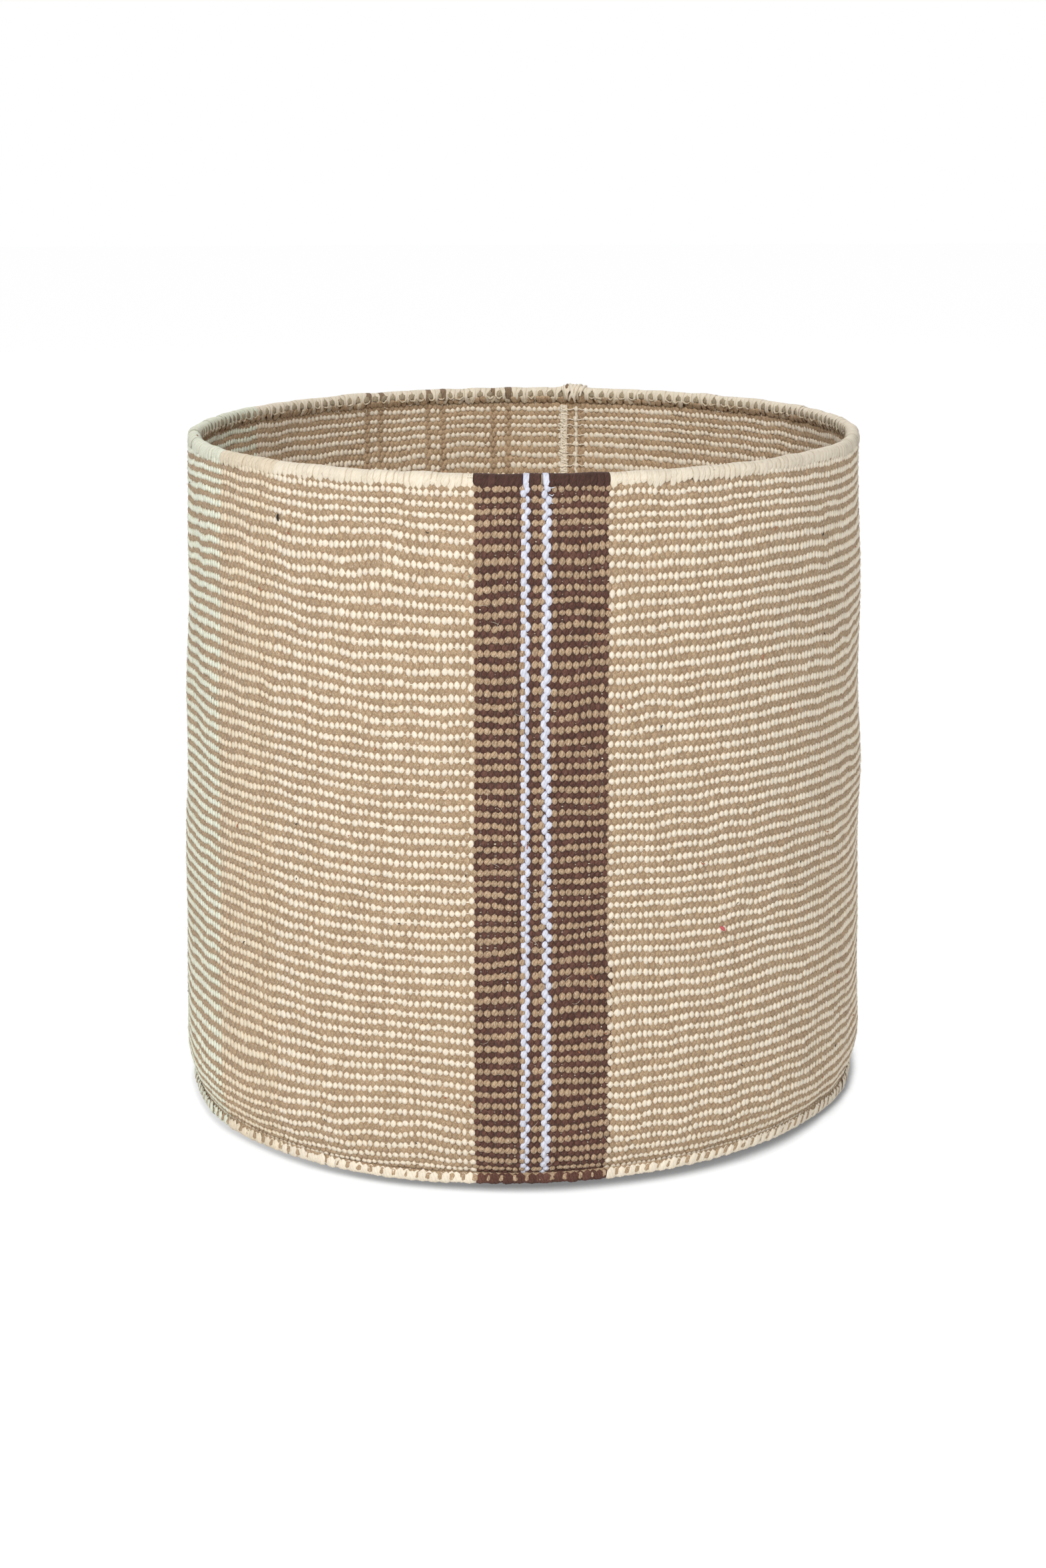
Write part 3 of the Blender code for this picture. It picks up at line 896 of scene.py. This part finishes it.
# the way of a strand over the roll, from the outside to the inside: out and up from its middle, in mm
rimPath = [
    (2.75, -3.0), (3.0, -2.4), (3.05, -1.7), (3.05, -0.8), (2.98, 0.2), (2.55, 1.5), (1.48, 2.56), (0, 2.96),
    (-1.48, 2.56), (-2.56, 1.48), (-2.96, 0), (-2.82, -1.2), (-2.5, -2.3), (-1.6, -3.4),
]
rimSpans = (
    ("FieldRight", 10, 168, rimYarn, "cream_yarn", "rim_binding_field_right"),
    ("FieldLeft", 168, 350, rimYarn, "cream_yarn", "rim_binding_field_left"),
    ("StripeLeft", -10, -3, rimDarkYarn, "dark_brown_yarn", "rim_binding_stripe_left"),
    ("WhiteLineLeft", -3, -2, whiteYarn, "cool_white_yarn", "rim_binding_white_line_left"),
    ("StripeMiddle", -2, 0, rimDarkYarn, "dark_brown_yarn", "rim_binding_stripe_middle"),
    ("WhiteLineRight", 0, 1, whiteYarn, "cool_white_yarn", "rim_binding_white_line_right"),
    ("StripeRight", 1, 10, rimDarkYarn, "dark_brown_yarn", "rim_binding_stripe_right"),
)
paddedRing("rimPadding", rimRoll, 0.0025, squareYarn)
# a strand for each pair: straight outside, drawn together by twos inside, and slanting on the right
for panel, first, last, yarn, slot, node in rimSpans:
    pairs = np.arange(first, last)
    line = "WhiteLine" in panel
    brown = np.isin(pairs, backLinePairs)
    gathered = np.floor(pairs / 2) * 2 + 1.0 + np.where(pairs % 2 == 0, -0.23, 0.23)
    strands = {
        "out": pairs + (0.5 if line else 0.25),
        "in": pairs + 0.5 if line else np.where(brown, pairs + 0.25, gathered),
        "widthOut": 0.0024 if line else 0.0037,
        "widthIn": np.where(brown, 0.0027, 0.0015),
        "lean": 0.10 + 0.50 * np.clip((pairs - 12) / 30, 0, 1) * (pairs < 150),
        "turn": (0.60, 0.74),
        "dome": 0.00015,
        "raise": 0.00012 if line else 0.0,
        "lumps": 0.00020,
        "rough": 0.00004,
        "stagger": 0.00050,
        "ply": 0.00005,
        "startTaper": 0.13,
        "endTaper": 0.10,
        "swell": 0.0019,
        "length": 16.0,
        "material": brown.astype(int),
    }
    wrapStrands("rim" + panel, strands, rimPath, rimRoll, (yarn, brownWrapYarn), [node], first + 500)

# inside the rim the padding shows as squares between the gathered strands
squares = np.arange(10, 350, 2) + 0.0
squares = squares[np.abs(squares - seam["join"]) > 2.5]
squarePath = [(-2.3, 1.45), (-2.66, 1.0), (-2.84, 0.3), (-2.86, -0.4), (-2.76, -1.0), (-2.45, -1.5)]
squareRandom = np.random.default_rng(19)
squareStrands = {
    "out": squares + squareRandom.normal(0, 0.06, len(squares)),
    "in": squares + squareRandom.normal(0, 0.10, len(squares)),
    "widthOut": squareRandom.normal(0.0032, 0.0003, len(squares)),
    "widthIn": squareRandom.normal(0.0031, 0.0003, len(squares)),
    "turn": (0.2, 0.8),
    "dome": 0.00035,
    "raise": 0.00015,
    "rough": 0.00010,
    "stagger": 0.0002,
    "ply": 0.00008,
    "startTaper": 0.12,
    "endTaper": 0.12,
    "length": 4.0,
}
wrapStrands("rimSquares", squareStrands, squarePath, rimRoll, (squareYarn,),
            [], 61, across=4, along=6)

# below most of the squares lies a short loop of yarn
rimLoop = {
    "shown": 0.75,
    "turns": np.array([-0.75, -0.45, 0.0, 0.45, 0.75]),
    "ups": np.array([-1.1, -1.8, -2.2, -1.8, -1.1]) * 0.001,
    "outs": np.array([-2.95, -2.95, -2.85, -2.95, -2.95]) * 0.001,
    "radius": 0.00040,
}
loops = []
for square in squares[squareRandom.random(len(squares)) < rimLoop["shown"]]:
    turns = square + squareRandom.normal(0, 0.2) + squareRandom.uniform(0.7, 1.1) * rimLoop["turns"]
    turns = np.radians(turns + squareRandom.normal(0, 0.08, 5))
    ups = rimRoll["height"] + rimLoop["ups"] + squareRandom.normal(0, 0.00030, 5)
    outs = rimRoll["radius"] + handShape(turns, ups) + rimLoop["outs"]
    loops.append(roundPoints(turns, outs, ups))
makeThread("rimLoops", loops, rimLoop["radius"], dullYarn, ends=0.6)

# under them the turned warp ends of the wall slope back to the cloth
slopePath = [(-2.5, -0.9), (-2.72, -1.6), (-2.5, -2.4), (-2.1, -3.2), (-1.6, -4.0), (-1.1, -4.8)]
pairCount = weave["pairs"]
ends = np.arange(pairCount) + squareRandom.normal(0.5, 0.10, pairCount)
endsInStripe = np.abs(turned(np.radians(ends))) < weave["stripe"]
slopeStrands = {
    "out": ends,
    "in": ends + squareRandom.normal(0, 0.25, pairCount),
    "widthOut": squareRandom.normal(0.0030, 0.0004, pairCount),
    "widthIn": squareRandom.normal(0.0026, 0.0004, pairCount),
    "turn": (0.1, 0.9),
    "dome": 0.00025,
    "raise": squareRandom.normal(0, 0.00012, pairCount),
    "lumps": 0.00015,
    "rough": 0.00008,
    "stagger": 0.0004,
    "ply": 0.00008,
    "startTaper": 0.10,
    "endTaper": 0.25,
    "point": 0.4,
    "length": 4.0,
    "material": np.where(endsInStripe, 2, squareRandom.random(pairCount) < 0.22),
}
# the sand strands here take the lighter inside copy, painted light
wrapStrands("rimUnder", slopeStrands, slopePath, rimRoll, (sandInsidePaintedLight, dullYarn, stripeSandYarn),
            [], 67, across=4, along=6)


def looseFibres(name, rng, count, turns, heights, reach, lift, radius, material, inside=False):
    # short ends of yarn lying on the cloth, at random between two angles in degrees and two heights
    lines = []
    for fibre in range(count):
        angle = math.radians(rng.uniform(*turns))
        height = rng.uniform(*heights)
        share = np.linspace(0, 1, 5)
        heading = rng.uniform(0, 6.28) + rng.normal(0, 0.8) * share
        run = reach * rng.uniform(0.4, 1.2) * share
        rise = lift * (0.3 + rng.uniform(0.2, 1) * np.sin(2.8 * share + 0.2))
        angles = angle + run * np.cos(heading) / basketShape["topRadius"]
        climb = height + run * np.sin(heading)
        lines.append(wallPoints(angles, climb, insideLift(rise) if inside else rise))
    makeThread(name, lines, radius, material, ends=0.5)


fuzzRandom = np.random.default_rng(43)
fuzz = {"reach": 0.0036, "lift": 0.0007, "radius": 0.000045}
looseFibres("rimFuzz", fuzzRandom, 260, (10, 350), (0.2925, 0.2946), 0.0030, fuzz["lift"], 0.00013,
            creamYarn, True)
looseFibres("fuzzOutside", fuzzRandom, 360, (-95, 95), (0.010, 0.290), fuzz["reach"], fuzz["lift"],
            fuzz["radius"], creamYarn)
looseFibres("fuzzInside", fuzzRandom, 160, (100, 260), (0.200, 0.292), fuzz["reach"], fuzz["lift"],
            fuzz["radius"], creamYarn, True)

print("foot")
footRoll = {"radius": 0.1476, "height": 0.0030}
# the way of a strand round the foot, as for the rim
footPath = [
    (2.0, 2.1), (2.4, 1.7), (2.58, 1.1), (2.64, 0.3), (2.68, -0.7), (2.68, -1.5), (2.45, -2.2),
    (1.7, -2.6), (0.0, -2.65), (-2.0, -2.2), (-2.8, -1.1), (-3.0, 0.2), (-2.4, 1.8), (-1.2, 2.7),
]
# the same for a patch, which lies on the outer face only
patchPath = [(2.25, 1.7), (2.5, 1.2), (2.62, 0.5), (2.68, -0.2), (2.70, -0.8), (2.68, -1.3)]
paddedRing("footPadding", footRoll, 0.0020, sandYarn)
footSpans = (
    ("FieldRight", 10, 168, creamYarn, sandYarn, "cream_yarn", "foot_binding_field_right"),
    ("FieldLeft", 168, 350, creamYarn, sandYarn, "cream_yarn", "foot_binding_field_left"),
    ("Stripe", -10, 10, darkYarn, stripeSandYarn, "dark_brown_yarn", "foot_binding_stripe"),
)
blockWidth = {"out": 0.0037, "in": 0.0039, "between": 0.0034}
for panel, first, last, yarn, other, slot, node in footSpans:
    footRandom = np.random.default_rng(first + 70)
    blocks = np.arange(first, last, 2)
    count = len(blocks)
    raised = blocks + 0.65 + footRandom.normal(0, 0.08, count)
    between = blocks + 1.65 + footRandom.normal(0, 0.08, count)
    centres = np.concatenate([raised, between])
    lean = 0.10 + 0.42 * np.clip((centres - 8) / 40, 0, 1) * (centres < 180)
    lower = np.full(count, blockWidth["between"])
    # a raised block of yarn, and a lower turn beside it
    footStrands = {
        "out": centres + lean,
        "in": centres - lean,
        "widthOut": np.concatenate([footRandom.normal(blockWidth["out"], 0.00025, count), lower]),
        "widthIn": np.concatenate([np.full(count, blockWidth["in"]), lower]),
        "raise": np.concatenate([footRandom.normal(0.00030, 0.00006, count), np.full(count, 0.00002)]),
        "point": 0.4,
        # the sides of the blocks take less painted shade
        "edge": 0.3,
        "turn": (0.0, 0.35),
        "dome": np.concatenate([np.full(count, 0.00034), np.full(count, 0.00020)]),
        "rough": 0.00009,
        "stagger": 0.0003,
        "ply": 0.00012,
        "startTaper": 0.08,
        "endTaper": 0.10,
        "length": 15.0,
        "material": 0,
    }
    wrapStrands("foot" + panel, footStrands, footPath, footRoll, (yarn, other), [node], first + 900)
    # the wall's other yarn, seen as a patch between two blocks
    patchStrands = {
        "out": between + 0.7 * lean[count:],
        "in": between - 0.7 * lean[count:],
        "widthOut": footRandom.normal(0.0020, 0.0003, count),
        "widthIn": footRandom.normal(0.0023, 0.0003, count),
        "raise": 0.00020,
        "point": 0.4,
        "turn": (0.0, 1.0),
        "dome": 0.00022,
        "rough": 0.00010,
        "stagger": 0.0003,
        "ply": 0.00010,
        "startTaper": 0.14,
        "endTaper": 0.14,
        "length": 3.5,
        "material": 1,
    }
    wrapStrands("footPatch" + panel, patchStrands, patchPath, footRoll, (yarn, other), [], first + 950,
                across=4, along=6)

print("seam")


def seamPoints(angles, heights, lifts):
    return wallPoints(np.radians(angles), np.asarray(heights), insideLift(np.asarray(lifts)))


# the whipping that shows as a thick twisted cord, over a core of three threads
seamRandom = np.random.default_rng(31)
chain = []
for strand in range(seam["chainStrands"]):
    row = strand / seam["strandsInRow"]
    z = float(rowPlace(math.radians(169.4), row)) + seamRandom.normal(0, 0.0006)
    if z < seam["low"] or z > seam["high"]:
        continue
    middle = seam["chain"] + seamRandom.normal(0, 0.22)
    reach = seamRandom.uniform(0.30, 0.75)
    rise = seamRandom.normal(0, 0.0010) + (0.0008 if strand % 2 else -0.0008)
    top = seamRandom.uniform(0.0004, 0.0010)
    turns = middle + reach * np.linspace(-1, 1, 5) + seamRandom.normal(0, 0.04, 5)
    heights = z + rise * np.linspace(-0.5, 0.5, 5) + seamRandom.normal(0, 0.00020, 5)
    chain.append(seamPoints(turns, heights, [0.0001, 0.8 * top, top, 0.8 * top, 0.0001]))
makeThread("seamChain", chain, 0.00040, creamYarn, nodes=["back_seam_thread_inside"], ends=0.4)
core = []
for middle in seam["core"]:
    turns = middle + seamRandom.normal(0, 0.07, 90)
    heights = np.linspace(0.009, 0.2915, 90)
    core.append(seamPoints(turns, heights, seamRandom.normal(0.0001, 0.0001, 90)))
makeThread("seamCore", core, 0.00072, creamYarn)

# rungs go from the cord to a vertical thread beside it, which is lumpy where they cross it
rungs = []
links = []
lumps = []
linkFall = np.array([0.0000, 0.0016, 0.0026, 0.0036, 0.0050])
lumpFall = np.array([-0.0016, -0.0008, 0.0, 0.0008, 0.0016])
for row in range(weave["rows"]):
    z = float(rowPlace(math.radians(seam["join"]), row + 0.5)) + seamRandom.normal(0, 0.0003)
    if 0.0075 < z < 0.2925:
        tilt = seamRandom.normal(0, 0.0003)
        rungs.append(seamPoints([168.9, 168.3, 167.7, 167.3], [z, z + tilt, z - tilt, z],
                                [0.0006, 0.0004, 0.0004, 0.0003]))
        rungs.append(seamPoints([167.0, 166.5, 166.0, 165.6], [z, z - tilt, z + tilt, z],
                                [0.0003, 0.0003, 0.0003, 0.0001]))
        sway = seamRandom.normal(seam["beside"], 0.08, 5)
        links.append(seamPoints(sway, z - linkFall, [0.0000, 0.0003, 0.0003, 0.0003, 0.0000]))
        sway = np.full(5, 167.2) + seamRandom.normal(0, 0.08)
        lumps.append(seamPoints(sway, z - lumpFall, [0.0, 0.0002, 0.0003, 0.0002, 0.0]))
makeThread("seamRungs", rungs, 0.00030, creamYarn)
makeThread("seamLinks", links, 0.00070, creamYarn)
makeThread("seamLumps", lumps, 0.00115, creamYarn, ends=0.35)
outer = []
for row in range(1, weave["rows"]):
    z = float(rowPlace(math.radians(167.7), row))
    if z > 0.0075:
        heights = z + np.array([-0.001, -0.0004, 0.0004, 0.001])
        lifts = np.array([-0.0002, 0.0005, 0.0005, -0.0002])
        outer.append(wallPoints(np.radians([167.2, 167.5, 167.9, 168.2]), heights, lifts))
makeThread("seamOutside", outer, 0.0006, creamYarn, nodes=["back_seam_thread_outside"], sides=1, ends=0.6)

# the yarn ends knotted over the rim where the cloth was joined: angles round the basket, then round the roll
knotEnds = (
    (166.1, 167.4, 60, 215),
    (168.6, 167.6, 50, 200),
    (167.0, 168.4, 100, 225),
    (169.6, 168.8, 80, 210),
    (165.2, 166.2, 70, 190),
    (167.9, 167.2, 120, 235),
    (168.8, 168.9, 95, 140),
)
rimKnot = []
for fromAngle, toAngle, startDegrees, endDegrees in knotEnds:
    turns = np.radians(np.linspace(fromAngle, toAngle, 9))
    lay = np.radians(np.linspace(startDegrees, endDegrees, 9)) + 0.05 * np.sin(np.linspace(0, 6, 9))
    over = 0.0031 + 0.0017 * bell(np.degrees(turns), seam["knot"], seam["knotReach"])
    far = rimRoll["radius"] + handShape(turns, 0.297) + np.cos(lay) * over
    rimKnot.append(roundPoints(turns, far, rimRoll["height"] + np.sin(lay) * over))
makeThread("seamRimKnot", rimKnot[:-1], 0.00068, creamYarn, sides=1, ends=0.6)
makeThread("seamRimFleck", rimKnot[-1:], 0.00090, brownWrapYarn, sides=1, ends=0.6)

print("marks")
fleckRed = yarnMaterial("fleckRed", (0.66, 0.12, 0.13), (0.50, 0.08, 0.09), (0.76, 0.22, 0.22),
                        (0.8, 0.7, 0.7), ply=0.0)
fleckRust = yarnMaterial("fleckRust", (0.46, 0.15, 0.07), (0.33, 0.10, 0.05), (0.58, 0.25, 0.14),
                         (0.8, 0.7, 0.7), ply=0.0)
fleckDark = yarnMaterial("fleckDark", (0.022, 0.018, 0.016), (0.014, 0.012, 0.011), (0.04, 0.032, 0.028),
                         (0.8, 0.8, 0.8), ply=0.0)
# each mark: the angles of its points in degrees, and their heights
looseWhite = (
    ((0.6, 1.0, 1.5), (0.2950, 0.2946, 0.2949)),
    ((0.7, 1.1, 1.4), (0.2921, 0.2915, 0.2920)),
    ((0.6, 0.9, 1.3), (0.2893, 0.2890, 0.2884)),
)
blackSlub = [((-44.0, -43.9, -43.9), (0.2788, 0.2775, 0.2760))]
redSlub = [((30.4, 30.8, 31.2), (0.1064, 0.1055, 0.1044))]


def surfaceMark(name, lines, radius, material):
    # a few short threads lying on the outside
    lifts = np.array([0.0001, 0.0005, 0.0001])
    laid = [wallPoints(np.radians(angles), np.array(heights), lifts) for angles, heights in lines]
    makeThread(name, laid, radius, material, sides=1, ends=0.6)


surfaceMark("looseWhiteThreads", looseWhite, 0.00022, whiteYarn)
surfaceMark("darkFleck", blackSlub, 0.00052, fleckDark)
surfaceMark("redFleck", redSlub, 0.00085, fleckRed)
markRandom = np.random.default_rng(47)
looseFibres("rustFlecks", markRandom, 34, (-80, 80), (0.012, 0.285), 0.0018, 0.0004, 0.00026, fleckRust)
looseFibres("darkFlecks", markRandom, 22, (-80, 80), (0.012, 0.285), 0.0014, 0.0004, 0.00022, fleckDark)

print("base")
baseCloth = {
    "radius": 0.1443,
    "thickness": 0.0035,
    "columns": 116,
    "rows": 59,
    "pitch": (0.00258, 0.00504),
    "edge": 0.0021,
    "inset": 0.0010,
    "topBead": 0.00105,
    "underBead": 0.00095,
    "groundHeight": 0.00172,
    "groundDepth": 0.0022,
    "stitches": 180,
}


def baseDisc(name, under, material, shiftX, shiftY):
    # one yarn of the floor of the basket, woven like the wall
    b = baseCloth
    pitchX, pitchY = b["pitch"]
    bead = plainBead(name)
    size = len(bead.data.vertices)
    repeatPiece(bead, 0, b["columns"], 1.0)
    repeatPiece(bead, 1, b["rows"], 1.0)
    mesh = bead.data
    rng = np.random.default_rng([3, int(under), int(shiftX * 4)])
    points = readPoints(mesh)
    index = np.arange(len(points)) // size
    column = index % b["columns"]
    row = index // b["columns"]
    localX = points[:, 0] - column
    localY = points[:, 1] - row
    centreX = (column - b["columns"] / 2 + shiftX) * pitchX
    centreY = (row - b["rows"] / 2 + shiftY) * pitchY
    angle, far = roundPlace(centreX, centreY)
    keep = far < b["radius"] - b["edge"] + handShape(angle, np.zeros(len(angle)))
    beads = b["columns"] * b["rows"]
    x = centreX + localX * pitchX * rng.normal(1, 0.05, beads)[index]
    y = centreY + localY * pitchY * rng.normal(1, 0.04, beads)[index]
    z = points[:, 2]
    # painted shade: the floats of the floor darken towards their roots, through the root tint
    high = np.clip(0.35 + 1.3 * z, 0, 1)
    if under:
        z = b["inset"] - z * b["underBead"]
    else:
        z = b["thickness"] - b["inset"] + z * b["topBead"]
    writePoints(mesh, np.stack([x, y, z], axis=1))
    if not under:
        mesh.flip_normals()
    fibre = np.stack([localX * weave["pairWidth"], localY * 5.0 + index * 7.7, index * 1.7], axis=1)
    writeYarn(mesh, fibre, rng.random(beads)[index], high=high)
    dropPoints(bead, ~keep)
    finishPiece(bead, [material], ["base_cloth"])


for under in (False, True):
    side = "Under" if under else "Inside"
    baseDisc("baseLight" + side, under, creamYarn, 0.25, 0.0)
    baseDisc("baseSand" + side, under, sandYarn, 0.75, 0.5)

# the body of the floor, between its two layers of floats
clearSelection()
bpy.ops.mesh.primitive_cylinder_add(vertices=120, radius=baseCloth["radius"] + 0.0006,
                                    depth=baseCloth["groundDepth"], location=(0, 0, 0))
baseGround = bpy.context.object
baseGround.name = "baseGround"
points = readPoints(baseGround.data)
angle, far = roundPlace(points[:, 0], points[:, 1])
far = far + handShape(angle, np.zeros(len(angle))) * (far > 0.01)
writePoints(baseGround.data, roundPoints(angle, far, points[:, 2] + baseCloth["groundHeight"]))
writeYarn(baseGround.data, points * 400)
finishPiece(baseGround, [groundYarn], ["base_cloth"])

# the thread that sews the floor to the foot, from the roll in over the edge of the disc
stitch = {
    "far": np.array([0.1444, 0.1432, 0.1418, 0.1406]),
    "turns": np.array([0, 0.004, 0.010, 0.014]),
    "heights": np.array([0.0036, 0.0048, 0.0044, 0.0030]),
}
stitches = []
for number in range(baseCloth["stitches"]):
    turn = 2 * math.pi * number / baseCloth["stitches"]
    far = stitch["far"] + float(handShape(turn, 0.0))
    stitches.append(roundPoints(turn + stitch["turns"], far, stitch["heights"]))
makeThread("baseStitches", stitches, 0.0006, creamYarn, nodes=["base_seam_thread"])

print("cords")


def cordMaterial():
    # undyed fibre for the cords, which are the frame's own solids inside the two bound edges
    material, tree, shader = startMaterial("cordFibre", {"Sheen Weight": 0.1, "Specular IOR Level": 0.15})
    where = addNode(tree, "TexCoord", {})
    fibres = addNode(tree, "TexNoise", {"Vector": where.outputs["Object"], "Scale": 900, "Detail": 4})
    colours = addRamp(tree, fibres, [(0.32, (0.42, 0.34, 0.24)), (0.70, (0.68, 0.60, 0.47))])
    rough = addNode(tree, "MapRange", {"Value": fibres, "To Min": 0.80, "To Max": 0.97})
    relief = addNode(tree, "Bump", {"Height": fibres, "Strength": 0.6, "Distance": 0.0003})
    feed(tree, shader.inputs["Base Color"], colours)
    feed(tree, shader.inputs["Roughness"], rough)
    feed(tree, shader.inputs["Normal"], relief)
    return material


cordFibre = cordMaterial()
for cord in ("rim_cord", "foot_cord"):
    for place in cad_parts[cord].material_slots:
        place.material = cordFibre

print("camera")
cameraView = {
    "azimuth": math.radians(-2.9),
    "distance": 1.2091,
    "height": 0.4549,
    "pitch": math.radians(14.81),
    "aside": -0.0009,
    "focalPixels": 4080,
    "longSide": 2351,
    "sensor": 36,
}
cameraData = bpy.data.cameras.new("camera")
cameraData.sensor_width = cameraView["sensor"]
cameraData.lens = cameraView["sensor"] * cameraView["focalPixels"] / cameraView["longSide"]
camera = bpy.data.objects.new("camera", cameraData)
bpy.context.collection.objects.link(camera)
turnAngle = cameraView["azimuth"]
camera.location = (
    math.sin(turnAngle) * cameraView["distance"] + math.cos(turnAngle) * cameraView["aside"],
    -math.cos(turnAngle) * cameraView["distance"] + math.sin(turnAngle) * cameraView["aside"],
    cameraView["height"],
)
camera.rotation_euler = (math.pi / 2 - cameraView["pitch"], 0, turnAngle)
bpy.context.scene.camera = camera

print("studio")


studio = {
    "lamps": {
        "keyLamp": {"place": (-2.1, -2.7, 3.0), "size": 1.6, "power": 75},
        "frontLamp": {"place": (0.6, -3.6, 2.6), "size": 2.5, "power": 92},
        "backLamp": {"place": (-0.4, 2.0, 1.8), "size": 1.6, "power": 22},
    },
    "aim": (0, 0, 0.15),
    "world": 0.165,
    "floorColour": (0.95, 0.95, 0.95, 1),
}


def softLamp(name, place, size, power):
    lampData = bpy.data.lights.new(name, "AREA")
    lampData.shape = "DISK"
    lampData.size = size
    lampData.energy = power
    lamp = bpy.data.objects.new(name, lampData)
    bpy.context.collection.objects.link(lamp)
    lamp.location = place
    aim = Vector(studio["aim"]) - Vector(place)
    lamp.rotation_euler = aim.to_track_quat("-Z", "Y").to_euler()


for name, lamp in studio["lamps"].items():
    softLamp(name, **lamp)

# the world is white to the camera and dim as a light
world = bpy.data.worlds.new("studioWorld")
bpy.context.scene.world = world
world.use_nodes = True
tree = world.node_tree
path = addNode(tree, "LightPath", {})
seen = addNode(tree, "Math", {0: path.outputs["Is Camera Ray"], 1: path.outputs["Is Glossy Ray"]},
               operation="MAXIMUM")
seenAll = addNode(tree, "Math", {0: seen, 1: path.outputs["Is Transmission Ray"]}, operation="MAXIMUM")
strength = addNode(tree, "MapRange", {"Value": seenAll, "To Min": studio["world"], "To Max": 1.0})
background = tree.nodes["Background"]
feed(tree, background.inputs["Strength"], strength)
background.inputs["Color"].default_value = (1, 1, 1, 1)


def floorMaterial():
    # white to the camera, with a painted shadow: the soft dark line where the basket stands
    material, tree, shader = startMaterial("paleFloor", {
        "Base Color": studio["floorColour"],
        "Roughness": 0.9,
        "Specular IOR Level": 0.0,
    })
    # the painted shadow is drawn from occlusion and the place on the floor: as if the light came from the
    # left, the line is narrower there, and narrowest at the sides
    where = addNode(tree, "TexCoord", {}).outputs["Object"]
    place = addNode(tree, "SeparateXYZ", {"Vector": where})
    wide = addNode(tree, "MapRange", {
        "Value": place.outputs["X"],
        "From Min": -0.08,
        "From Max": 0.01,
        "To Min": 0.0100,
        "To Max": 0.0142,
    })
    aside = addNode(tree, "Math", {0: place.outputs["Y"], 1: 0.03}, operation="ADD")
    narrow = addNode(tree, "MapRange", {
        "Value": addNode(tree, "Math", {0: aside}, operation="ABSOLUTE"),
        "From Min": 0.025,
        "From Max": 0.095,
        "To Min": 0.36,
        "To Max": 1.0,
    })
    reach = addNode(tree, "Math", {0: wide, 1: narrow}, operation="MULTIPLY")
    near = addNode(tree, "AmbientOcclusion", {"Distance": reach}, samples=8)
    shadowFade = addNode(tree, "MapRange", {
        "Value": near.outputs["AO"],
        "From Min": 0.54,
        "From Max": 0.98,
        "To Min": 0.22,
        "To Max": 1.0,
    }, interpolation_type="SMOOTHSTEP")
    # the painted shadow is weaker on the left and behind
    slant = addNode(tree, "VectorMath", {0: where, 1: (0.5, -1.0, 0)}, operation="DOT_PRODUCT")
    weight = addNode(tree, "MapRange", {
        "Value": slant.outputs["Value"],
        "From Min": -0.06,
        "From Max": 0.15,
        "To Min": 0.30,
    }, interpolation_type="SMOOTHSTEP")
    paintedShadow = addNode(tree, "Mix", {"Factor": weight, 2: 1.0, 3: shadowFade})
    lifted = addNode(tree, "Math", {0: paintedShadow, 1: 0.97}, operation="MULTIPLY")
    glow = addNode(tree, "Emission", {"Strength": lifted})
    shade = addNode(tree, "Math", {0: paintedShadow, 1: 0.10}, operation="MULTIPLY")
    plain = addNode(tree, "BsdfDiffuse", {"Color": shade})
    both = addNode(tree, "AddShader", {0: glow, 1: plain})
    path = addNode(tree, "LightPath", {})
    choose = addNode(tree, "MixShader", {"Fac": path.outputs["Is Camera Ray"], 1: shader, 2: both})
    feed(tree, tree.nodes["Material Output"].inputs["Surface"], choose)
    return material


clearSelection()
bpy.ops.mesh.primitive_plane_add(size=12, location=(0, 0, 0))
floor = bpy.context.object
floor.name = "floor"
floor.data.materials.append(floorMaterial())

bpy.context.scene.view_settings.view_transform = "Standard"
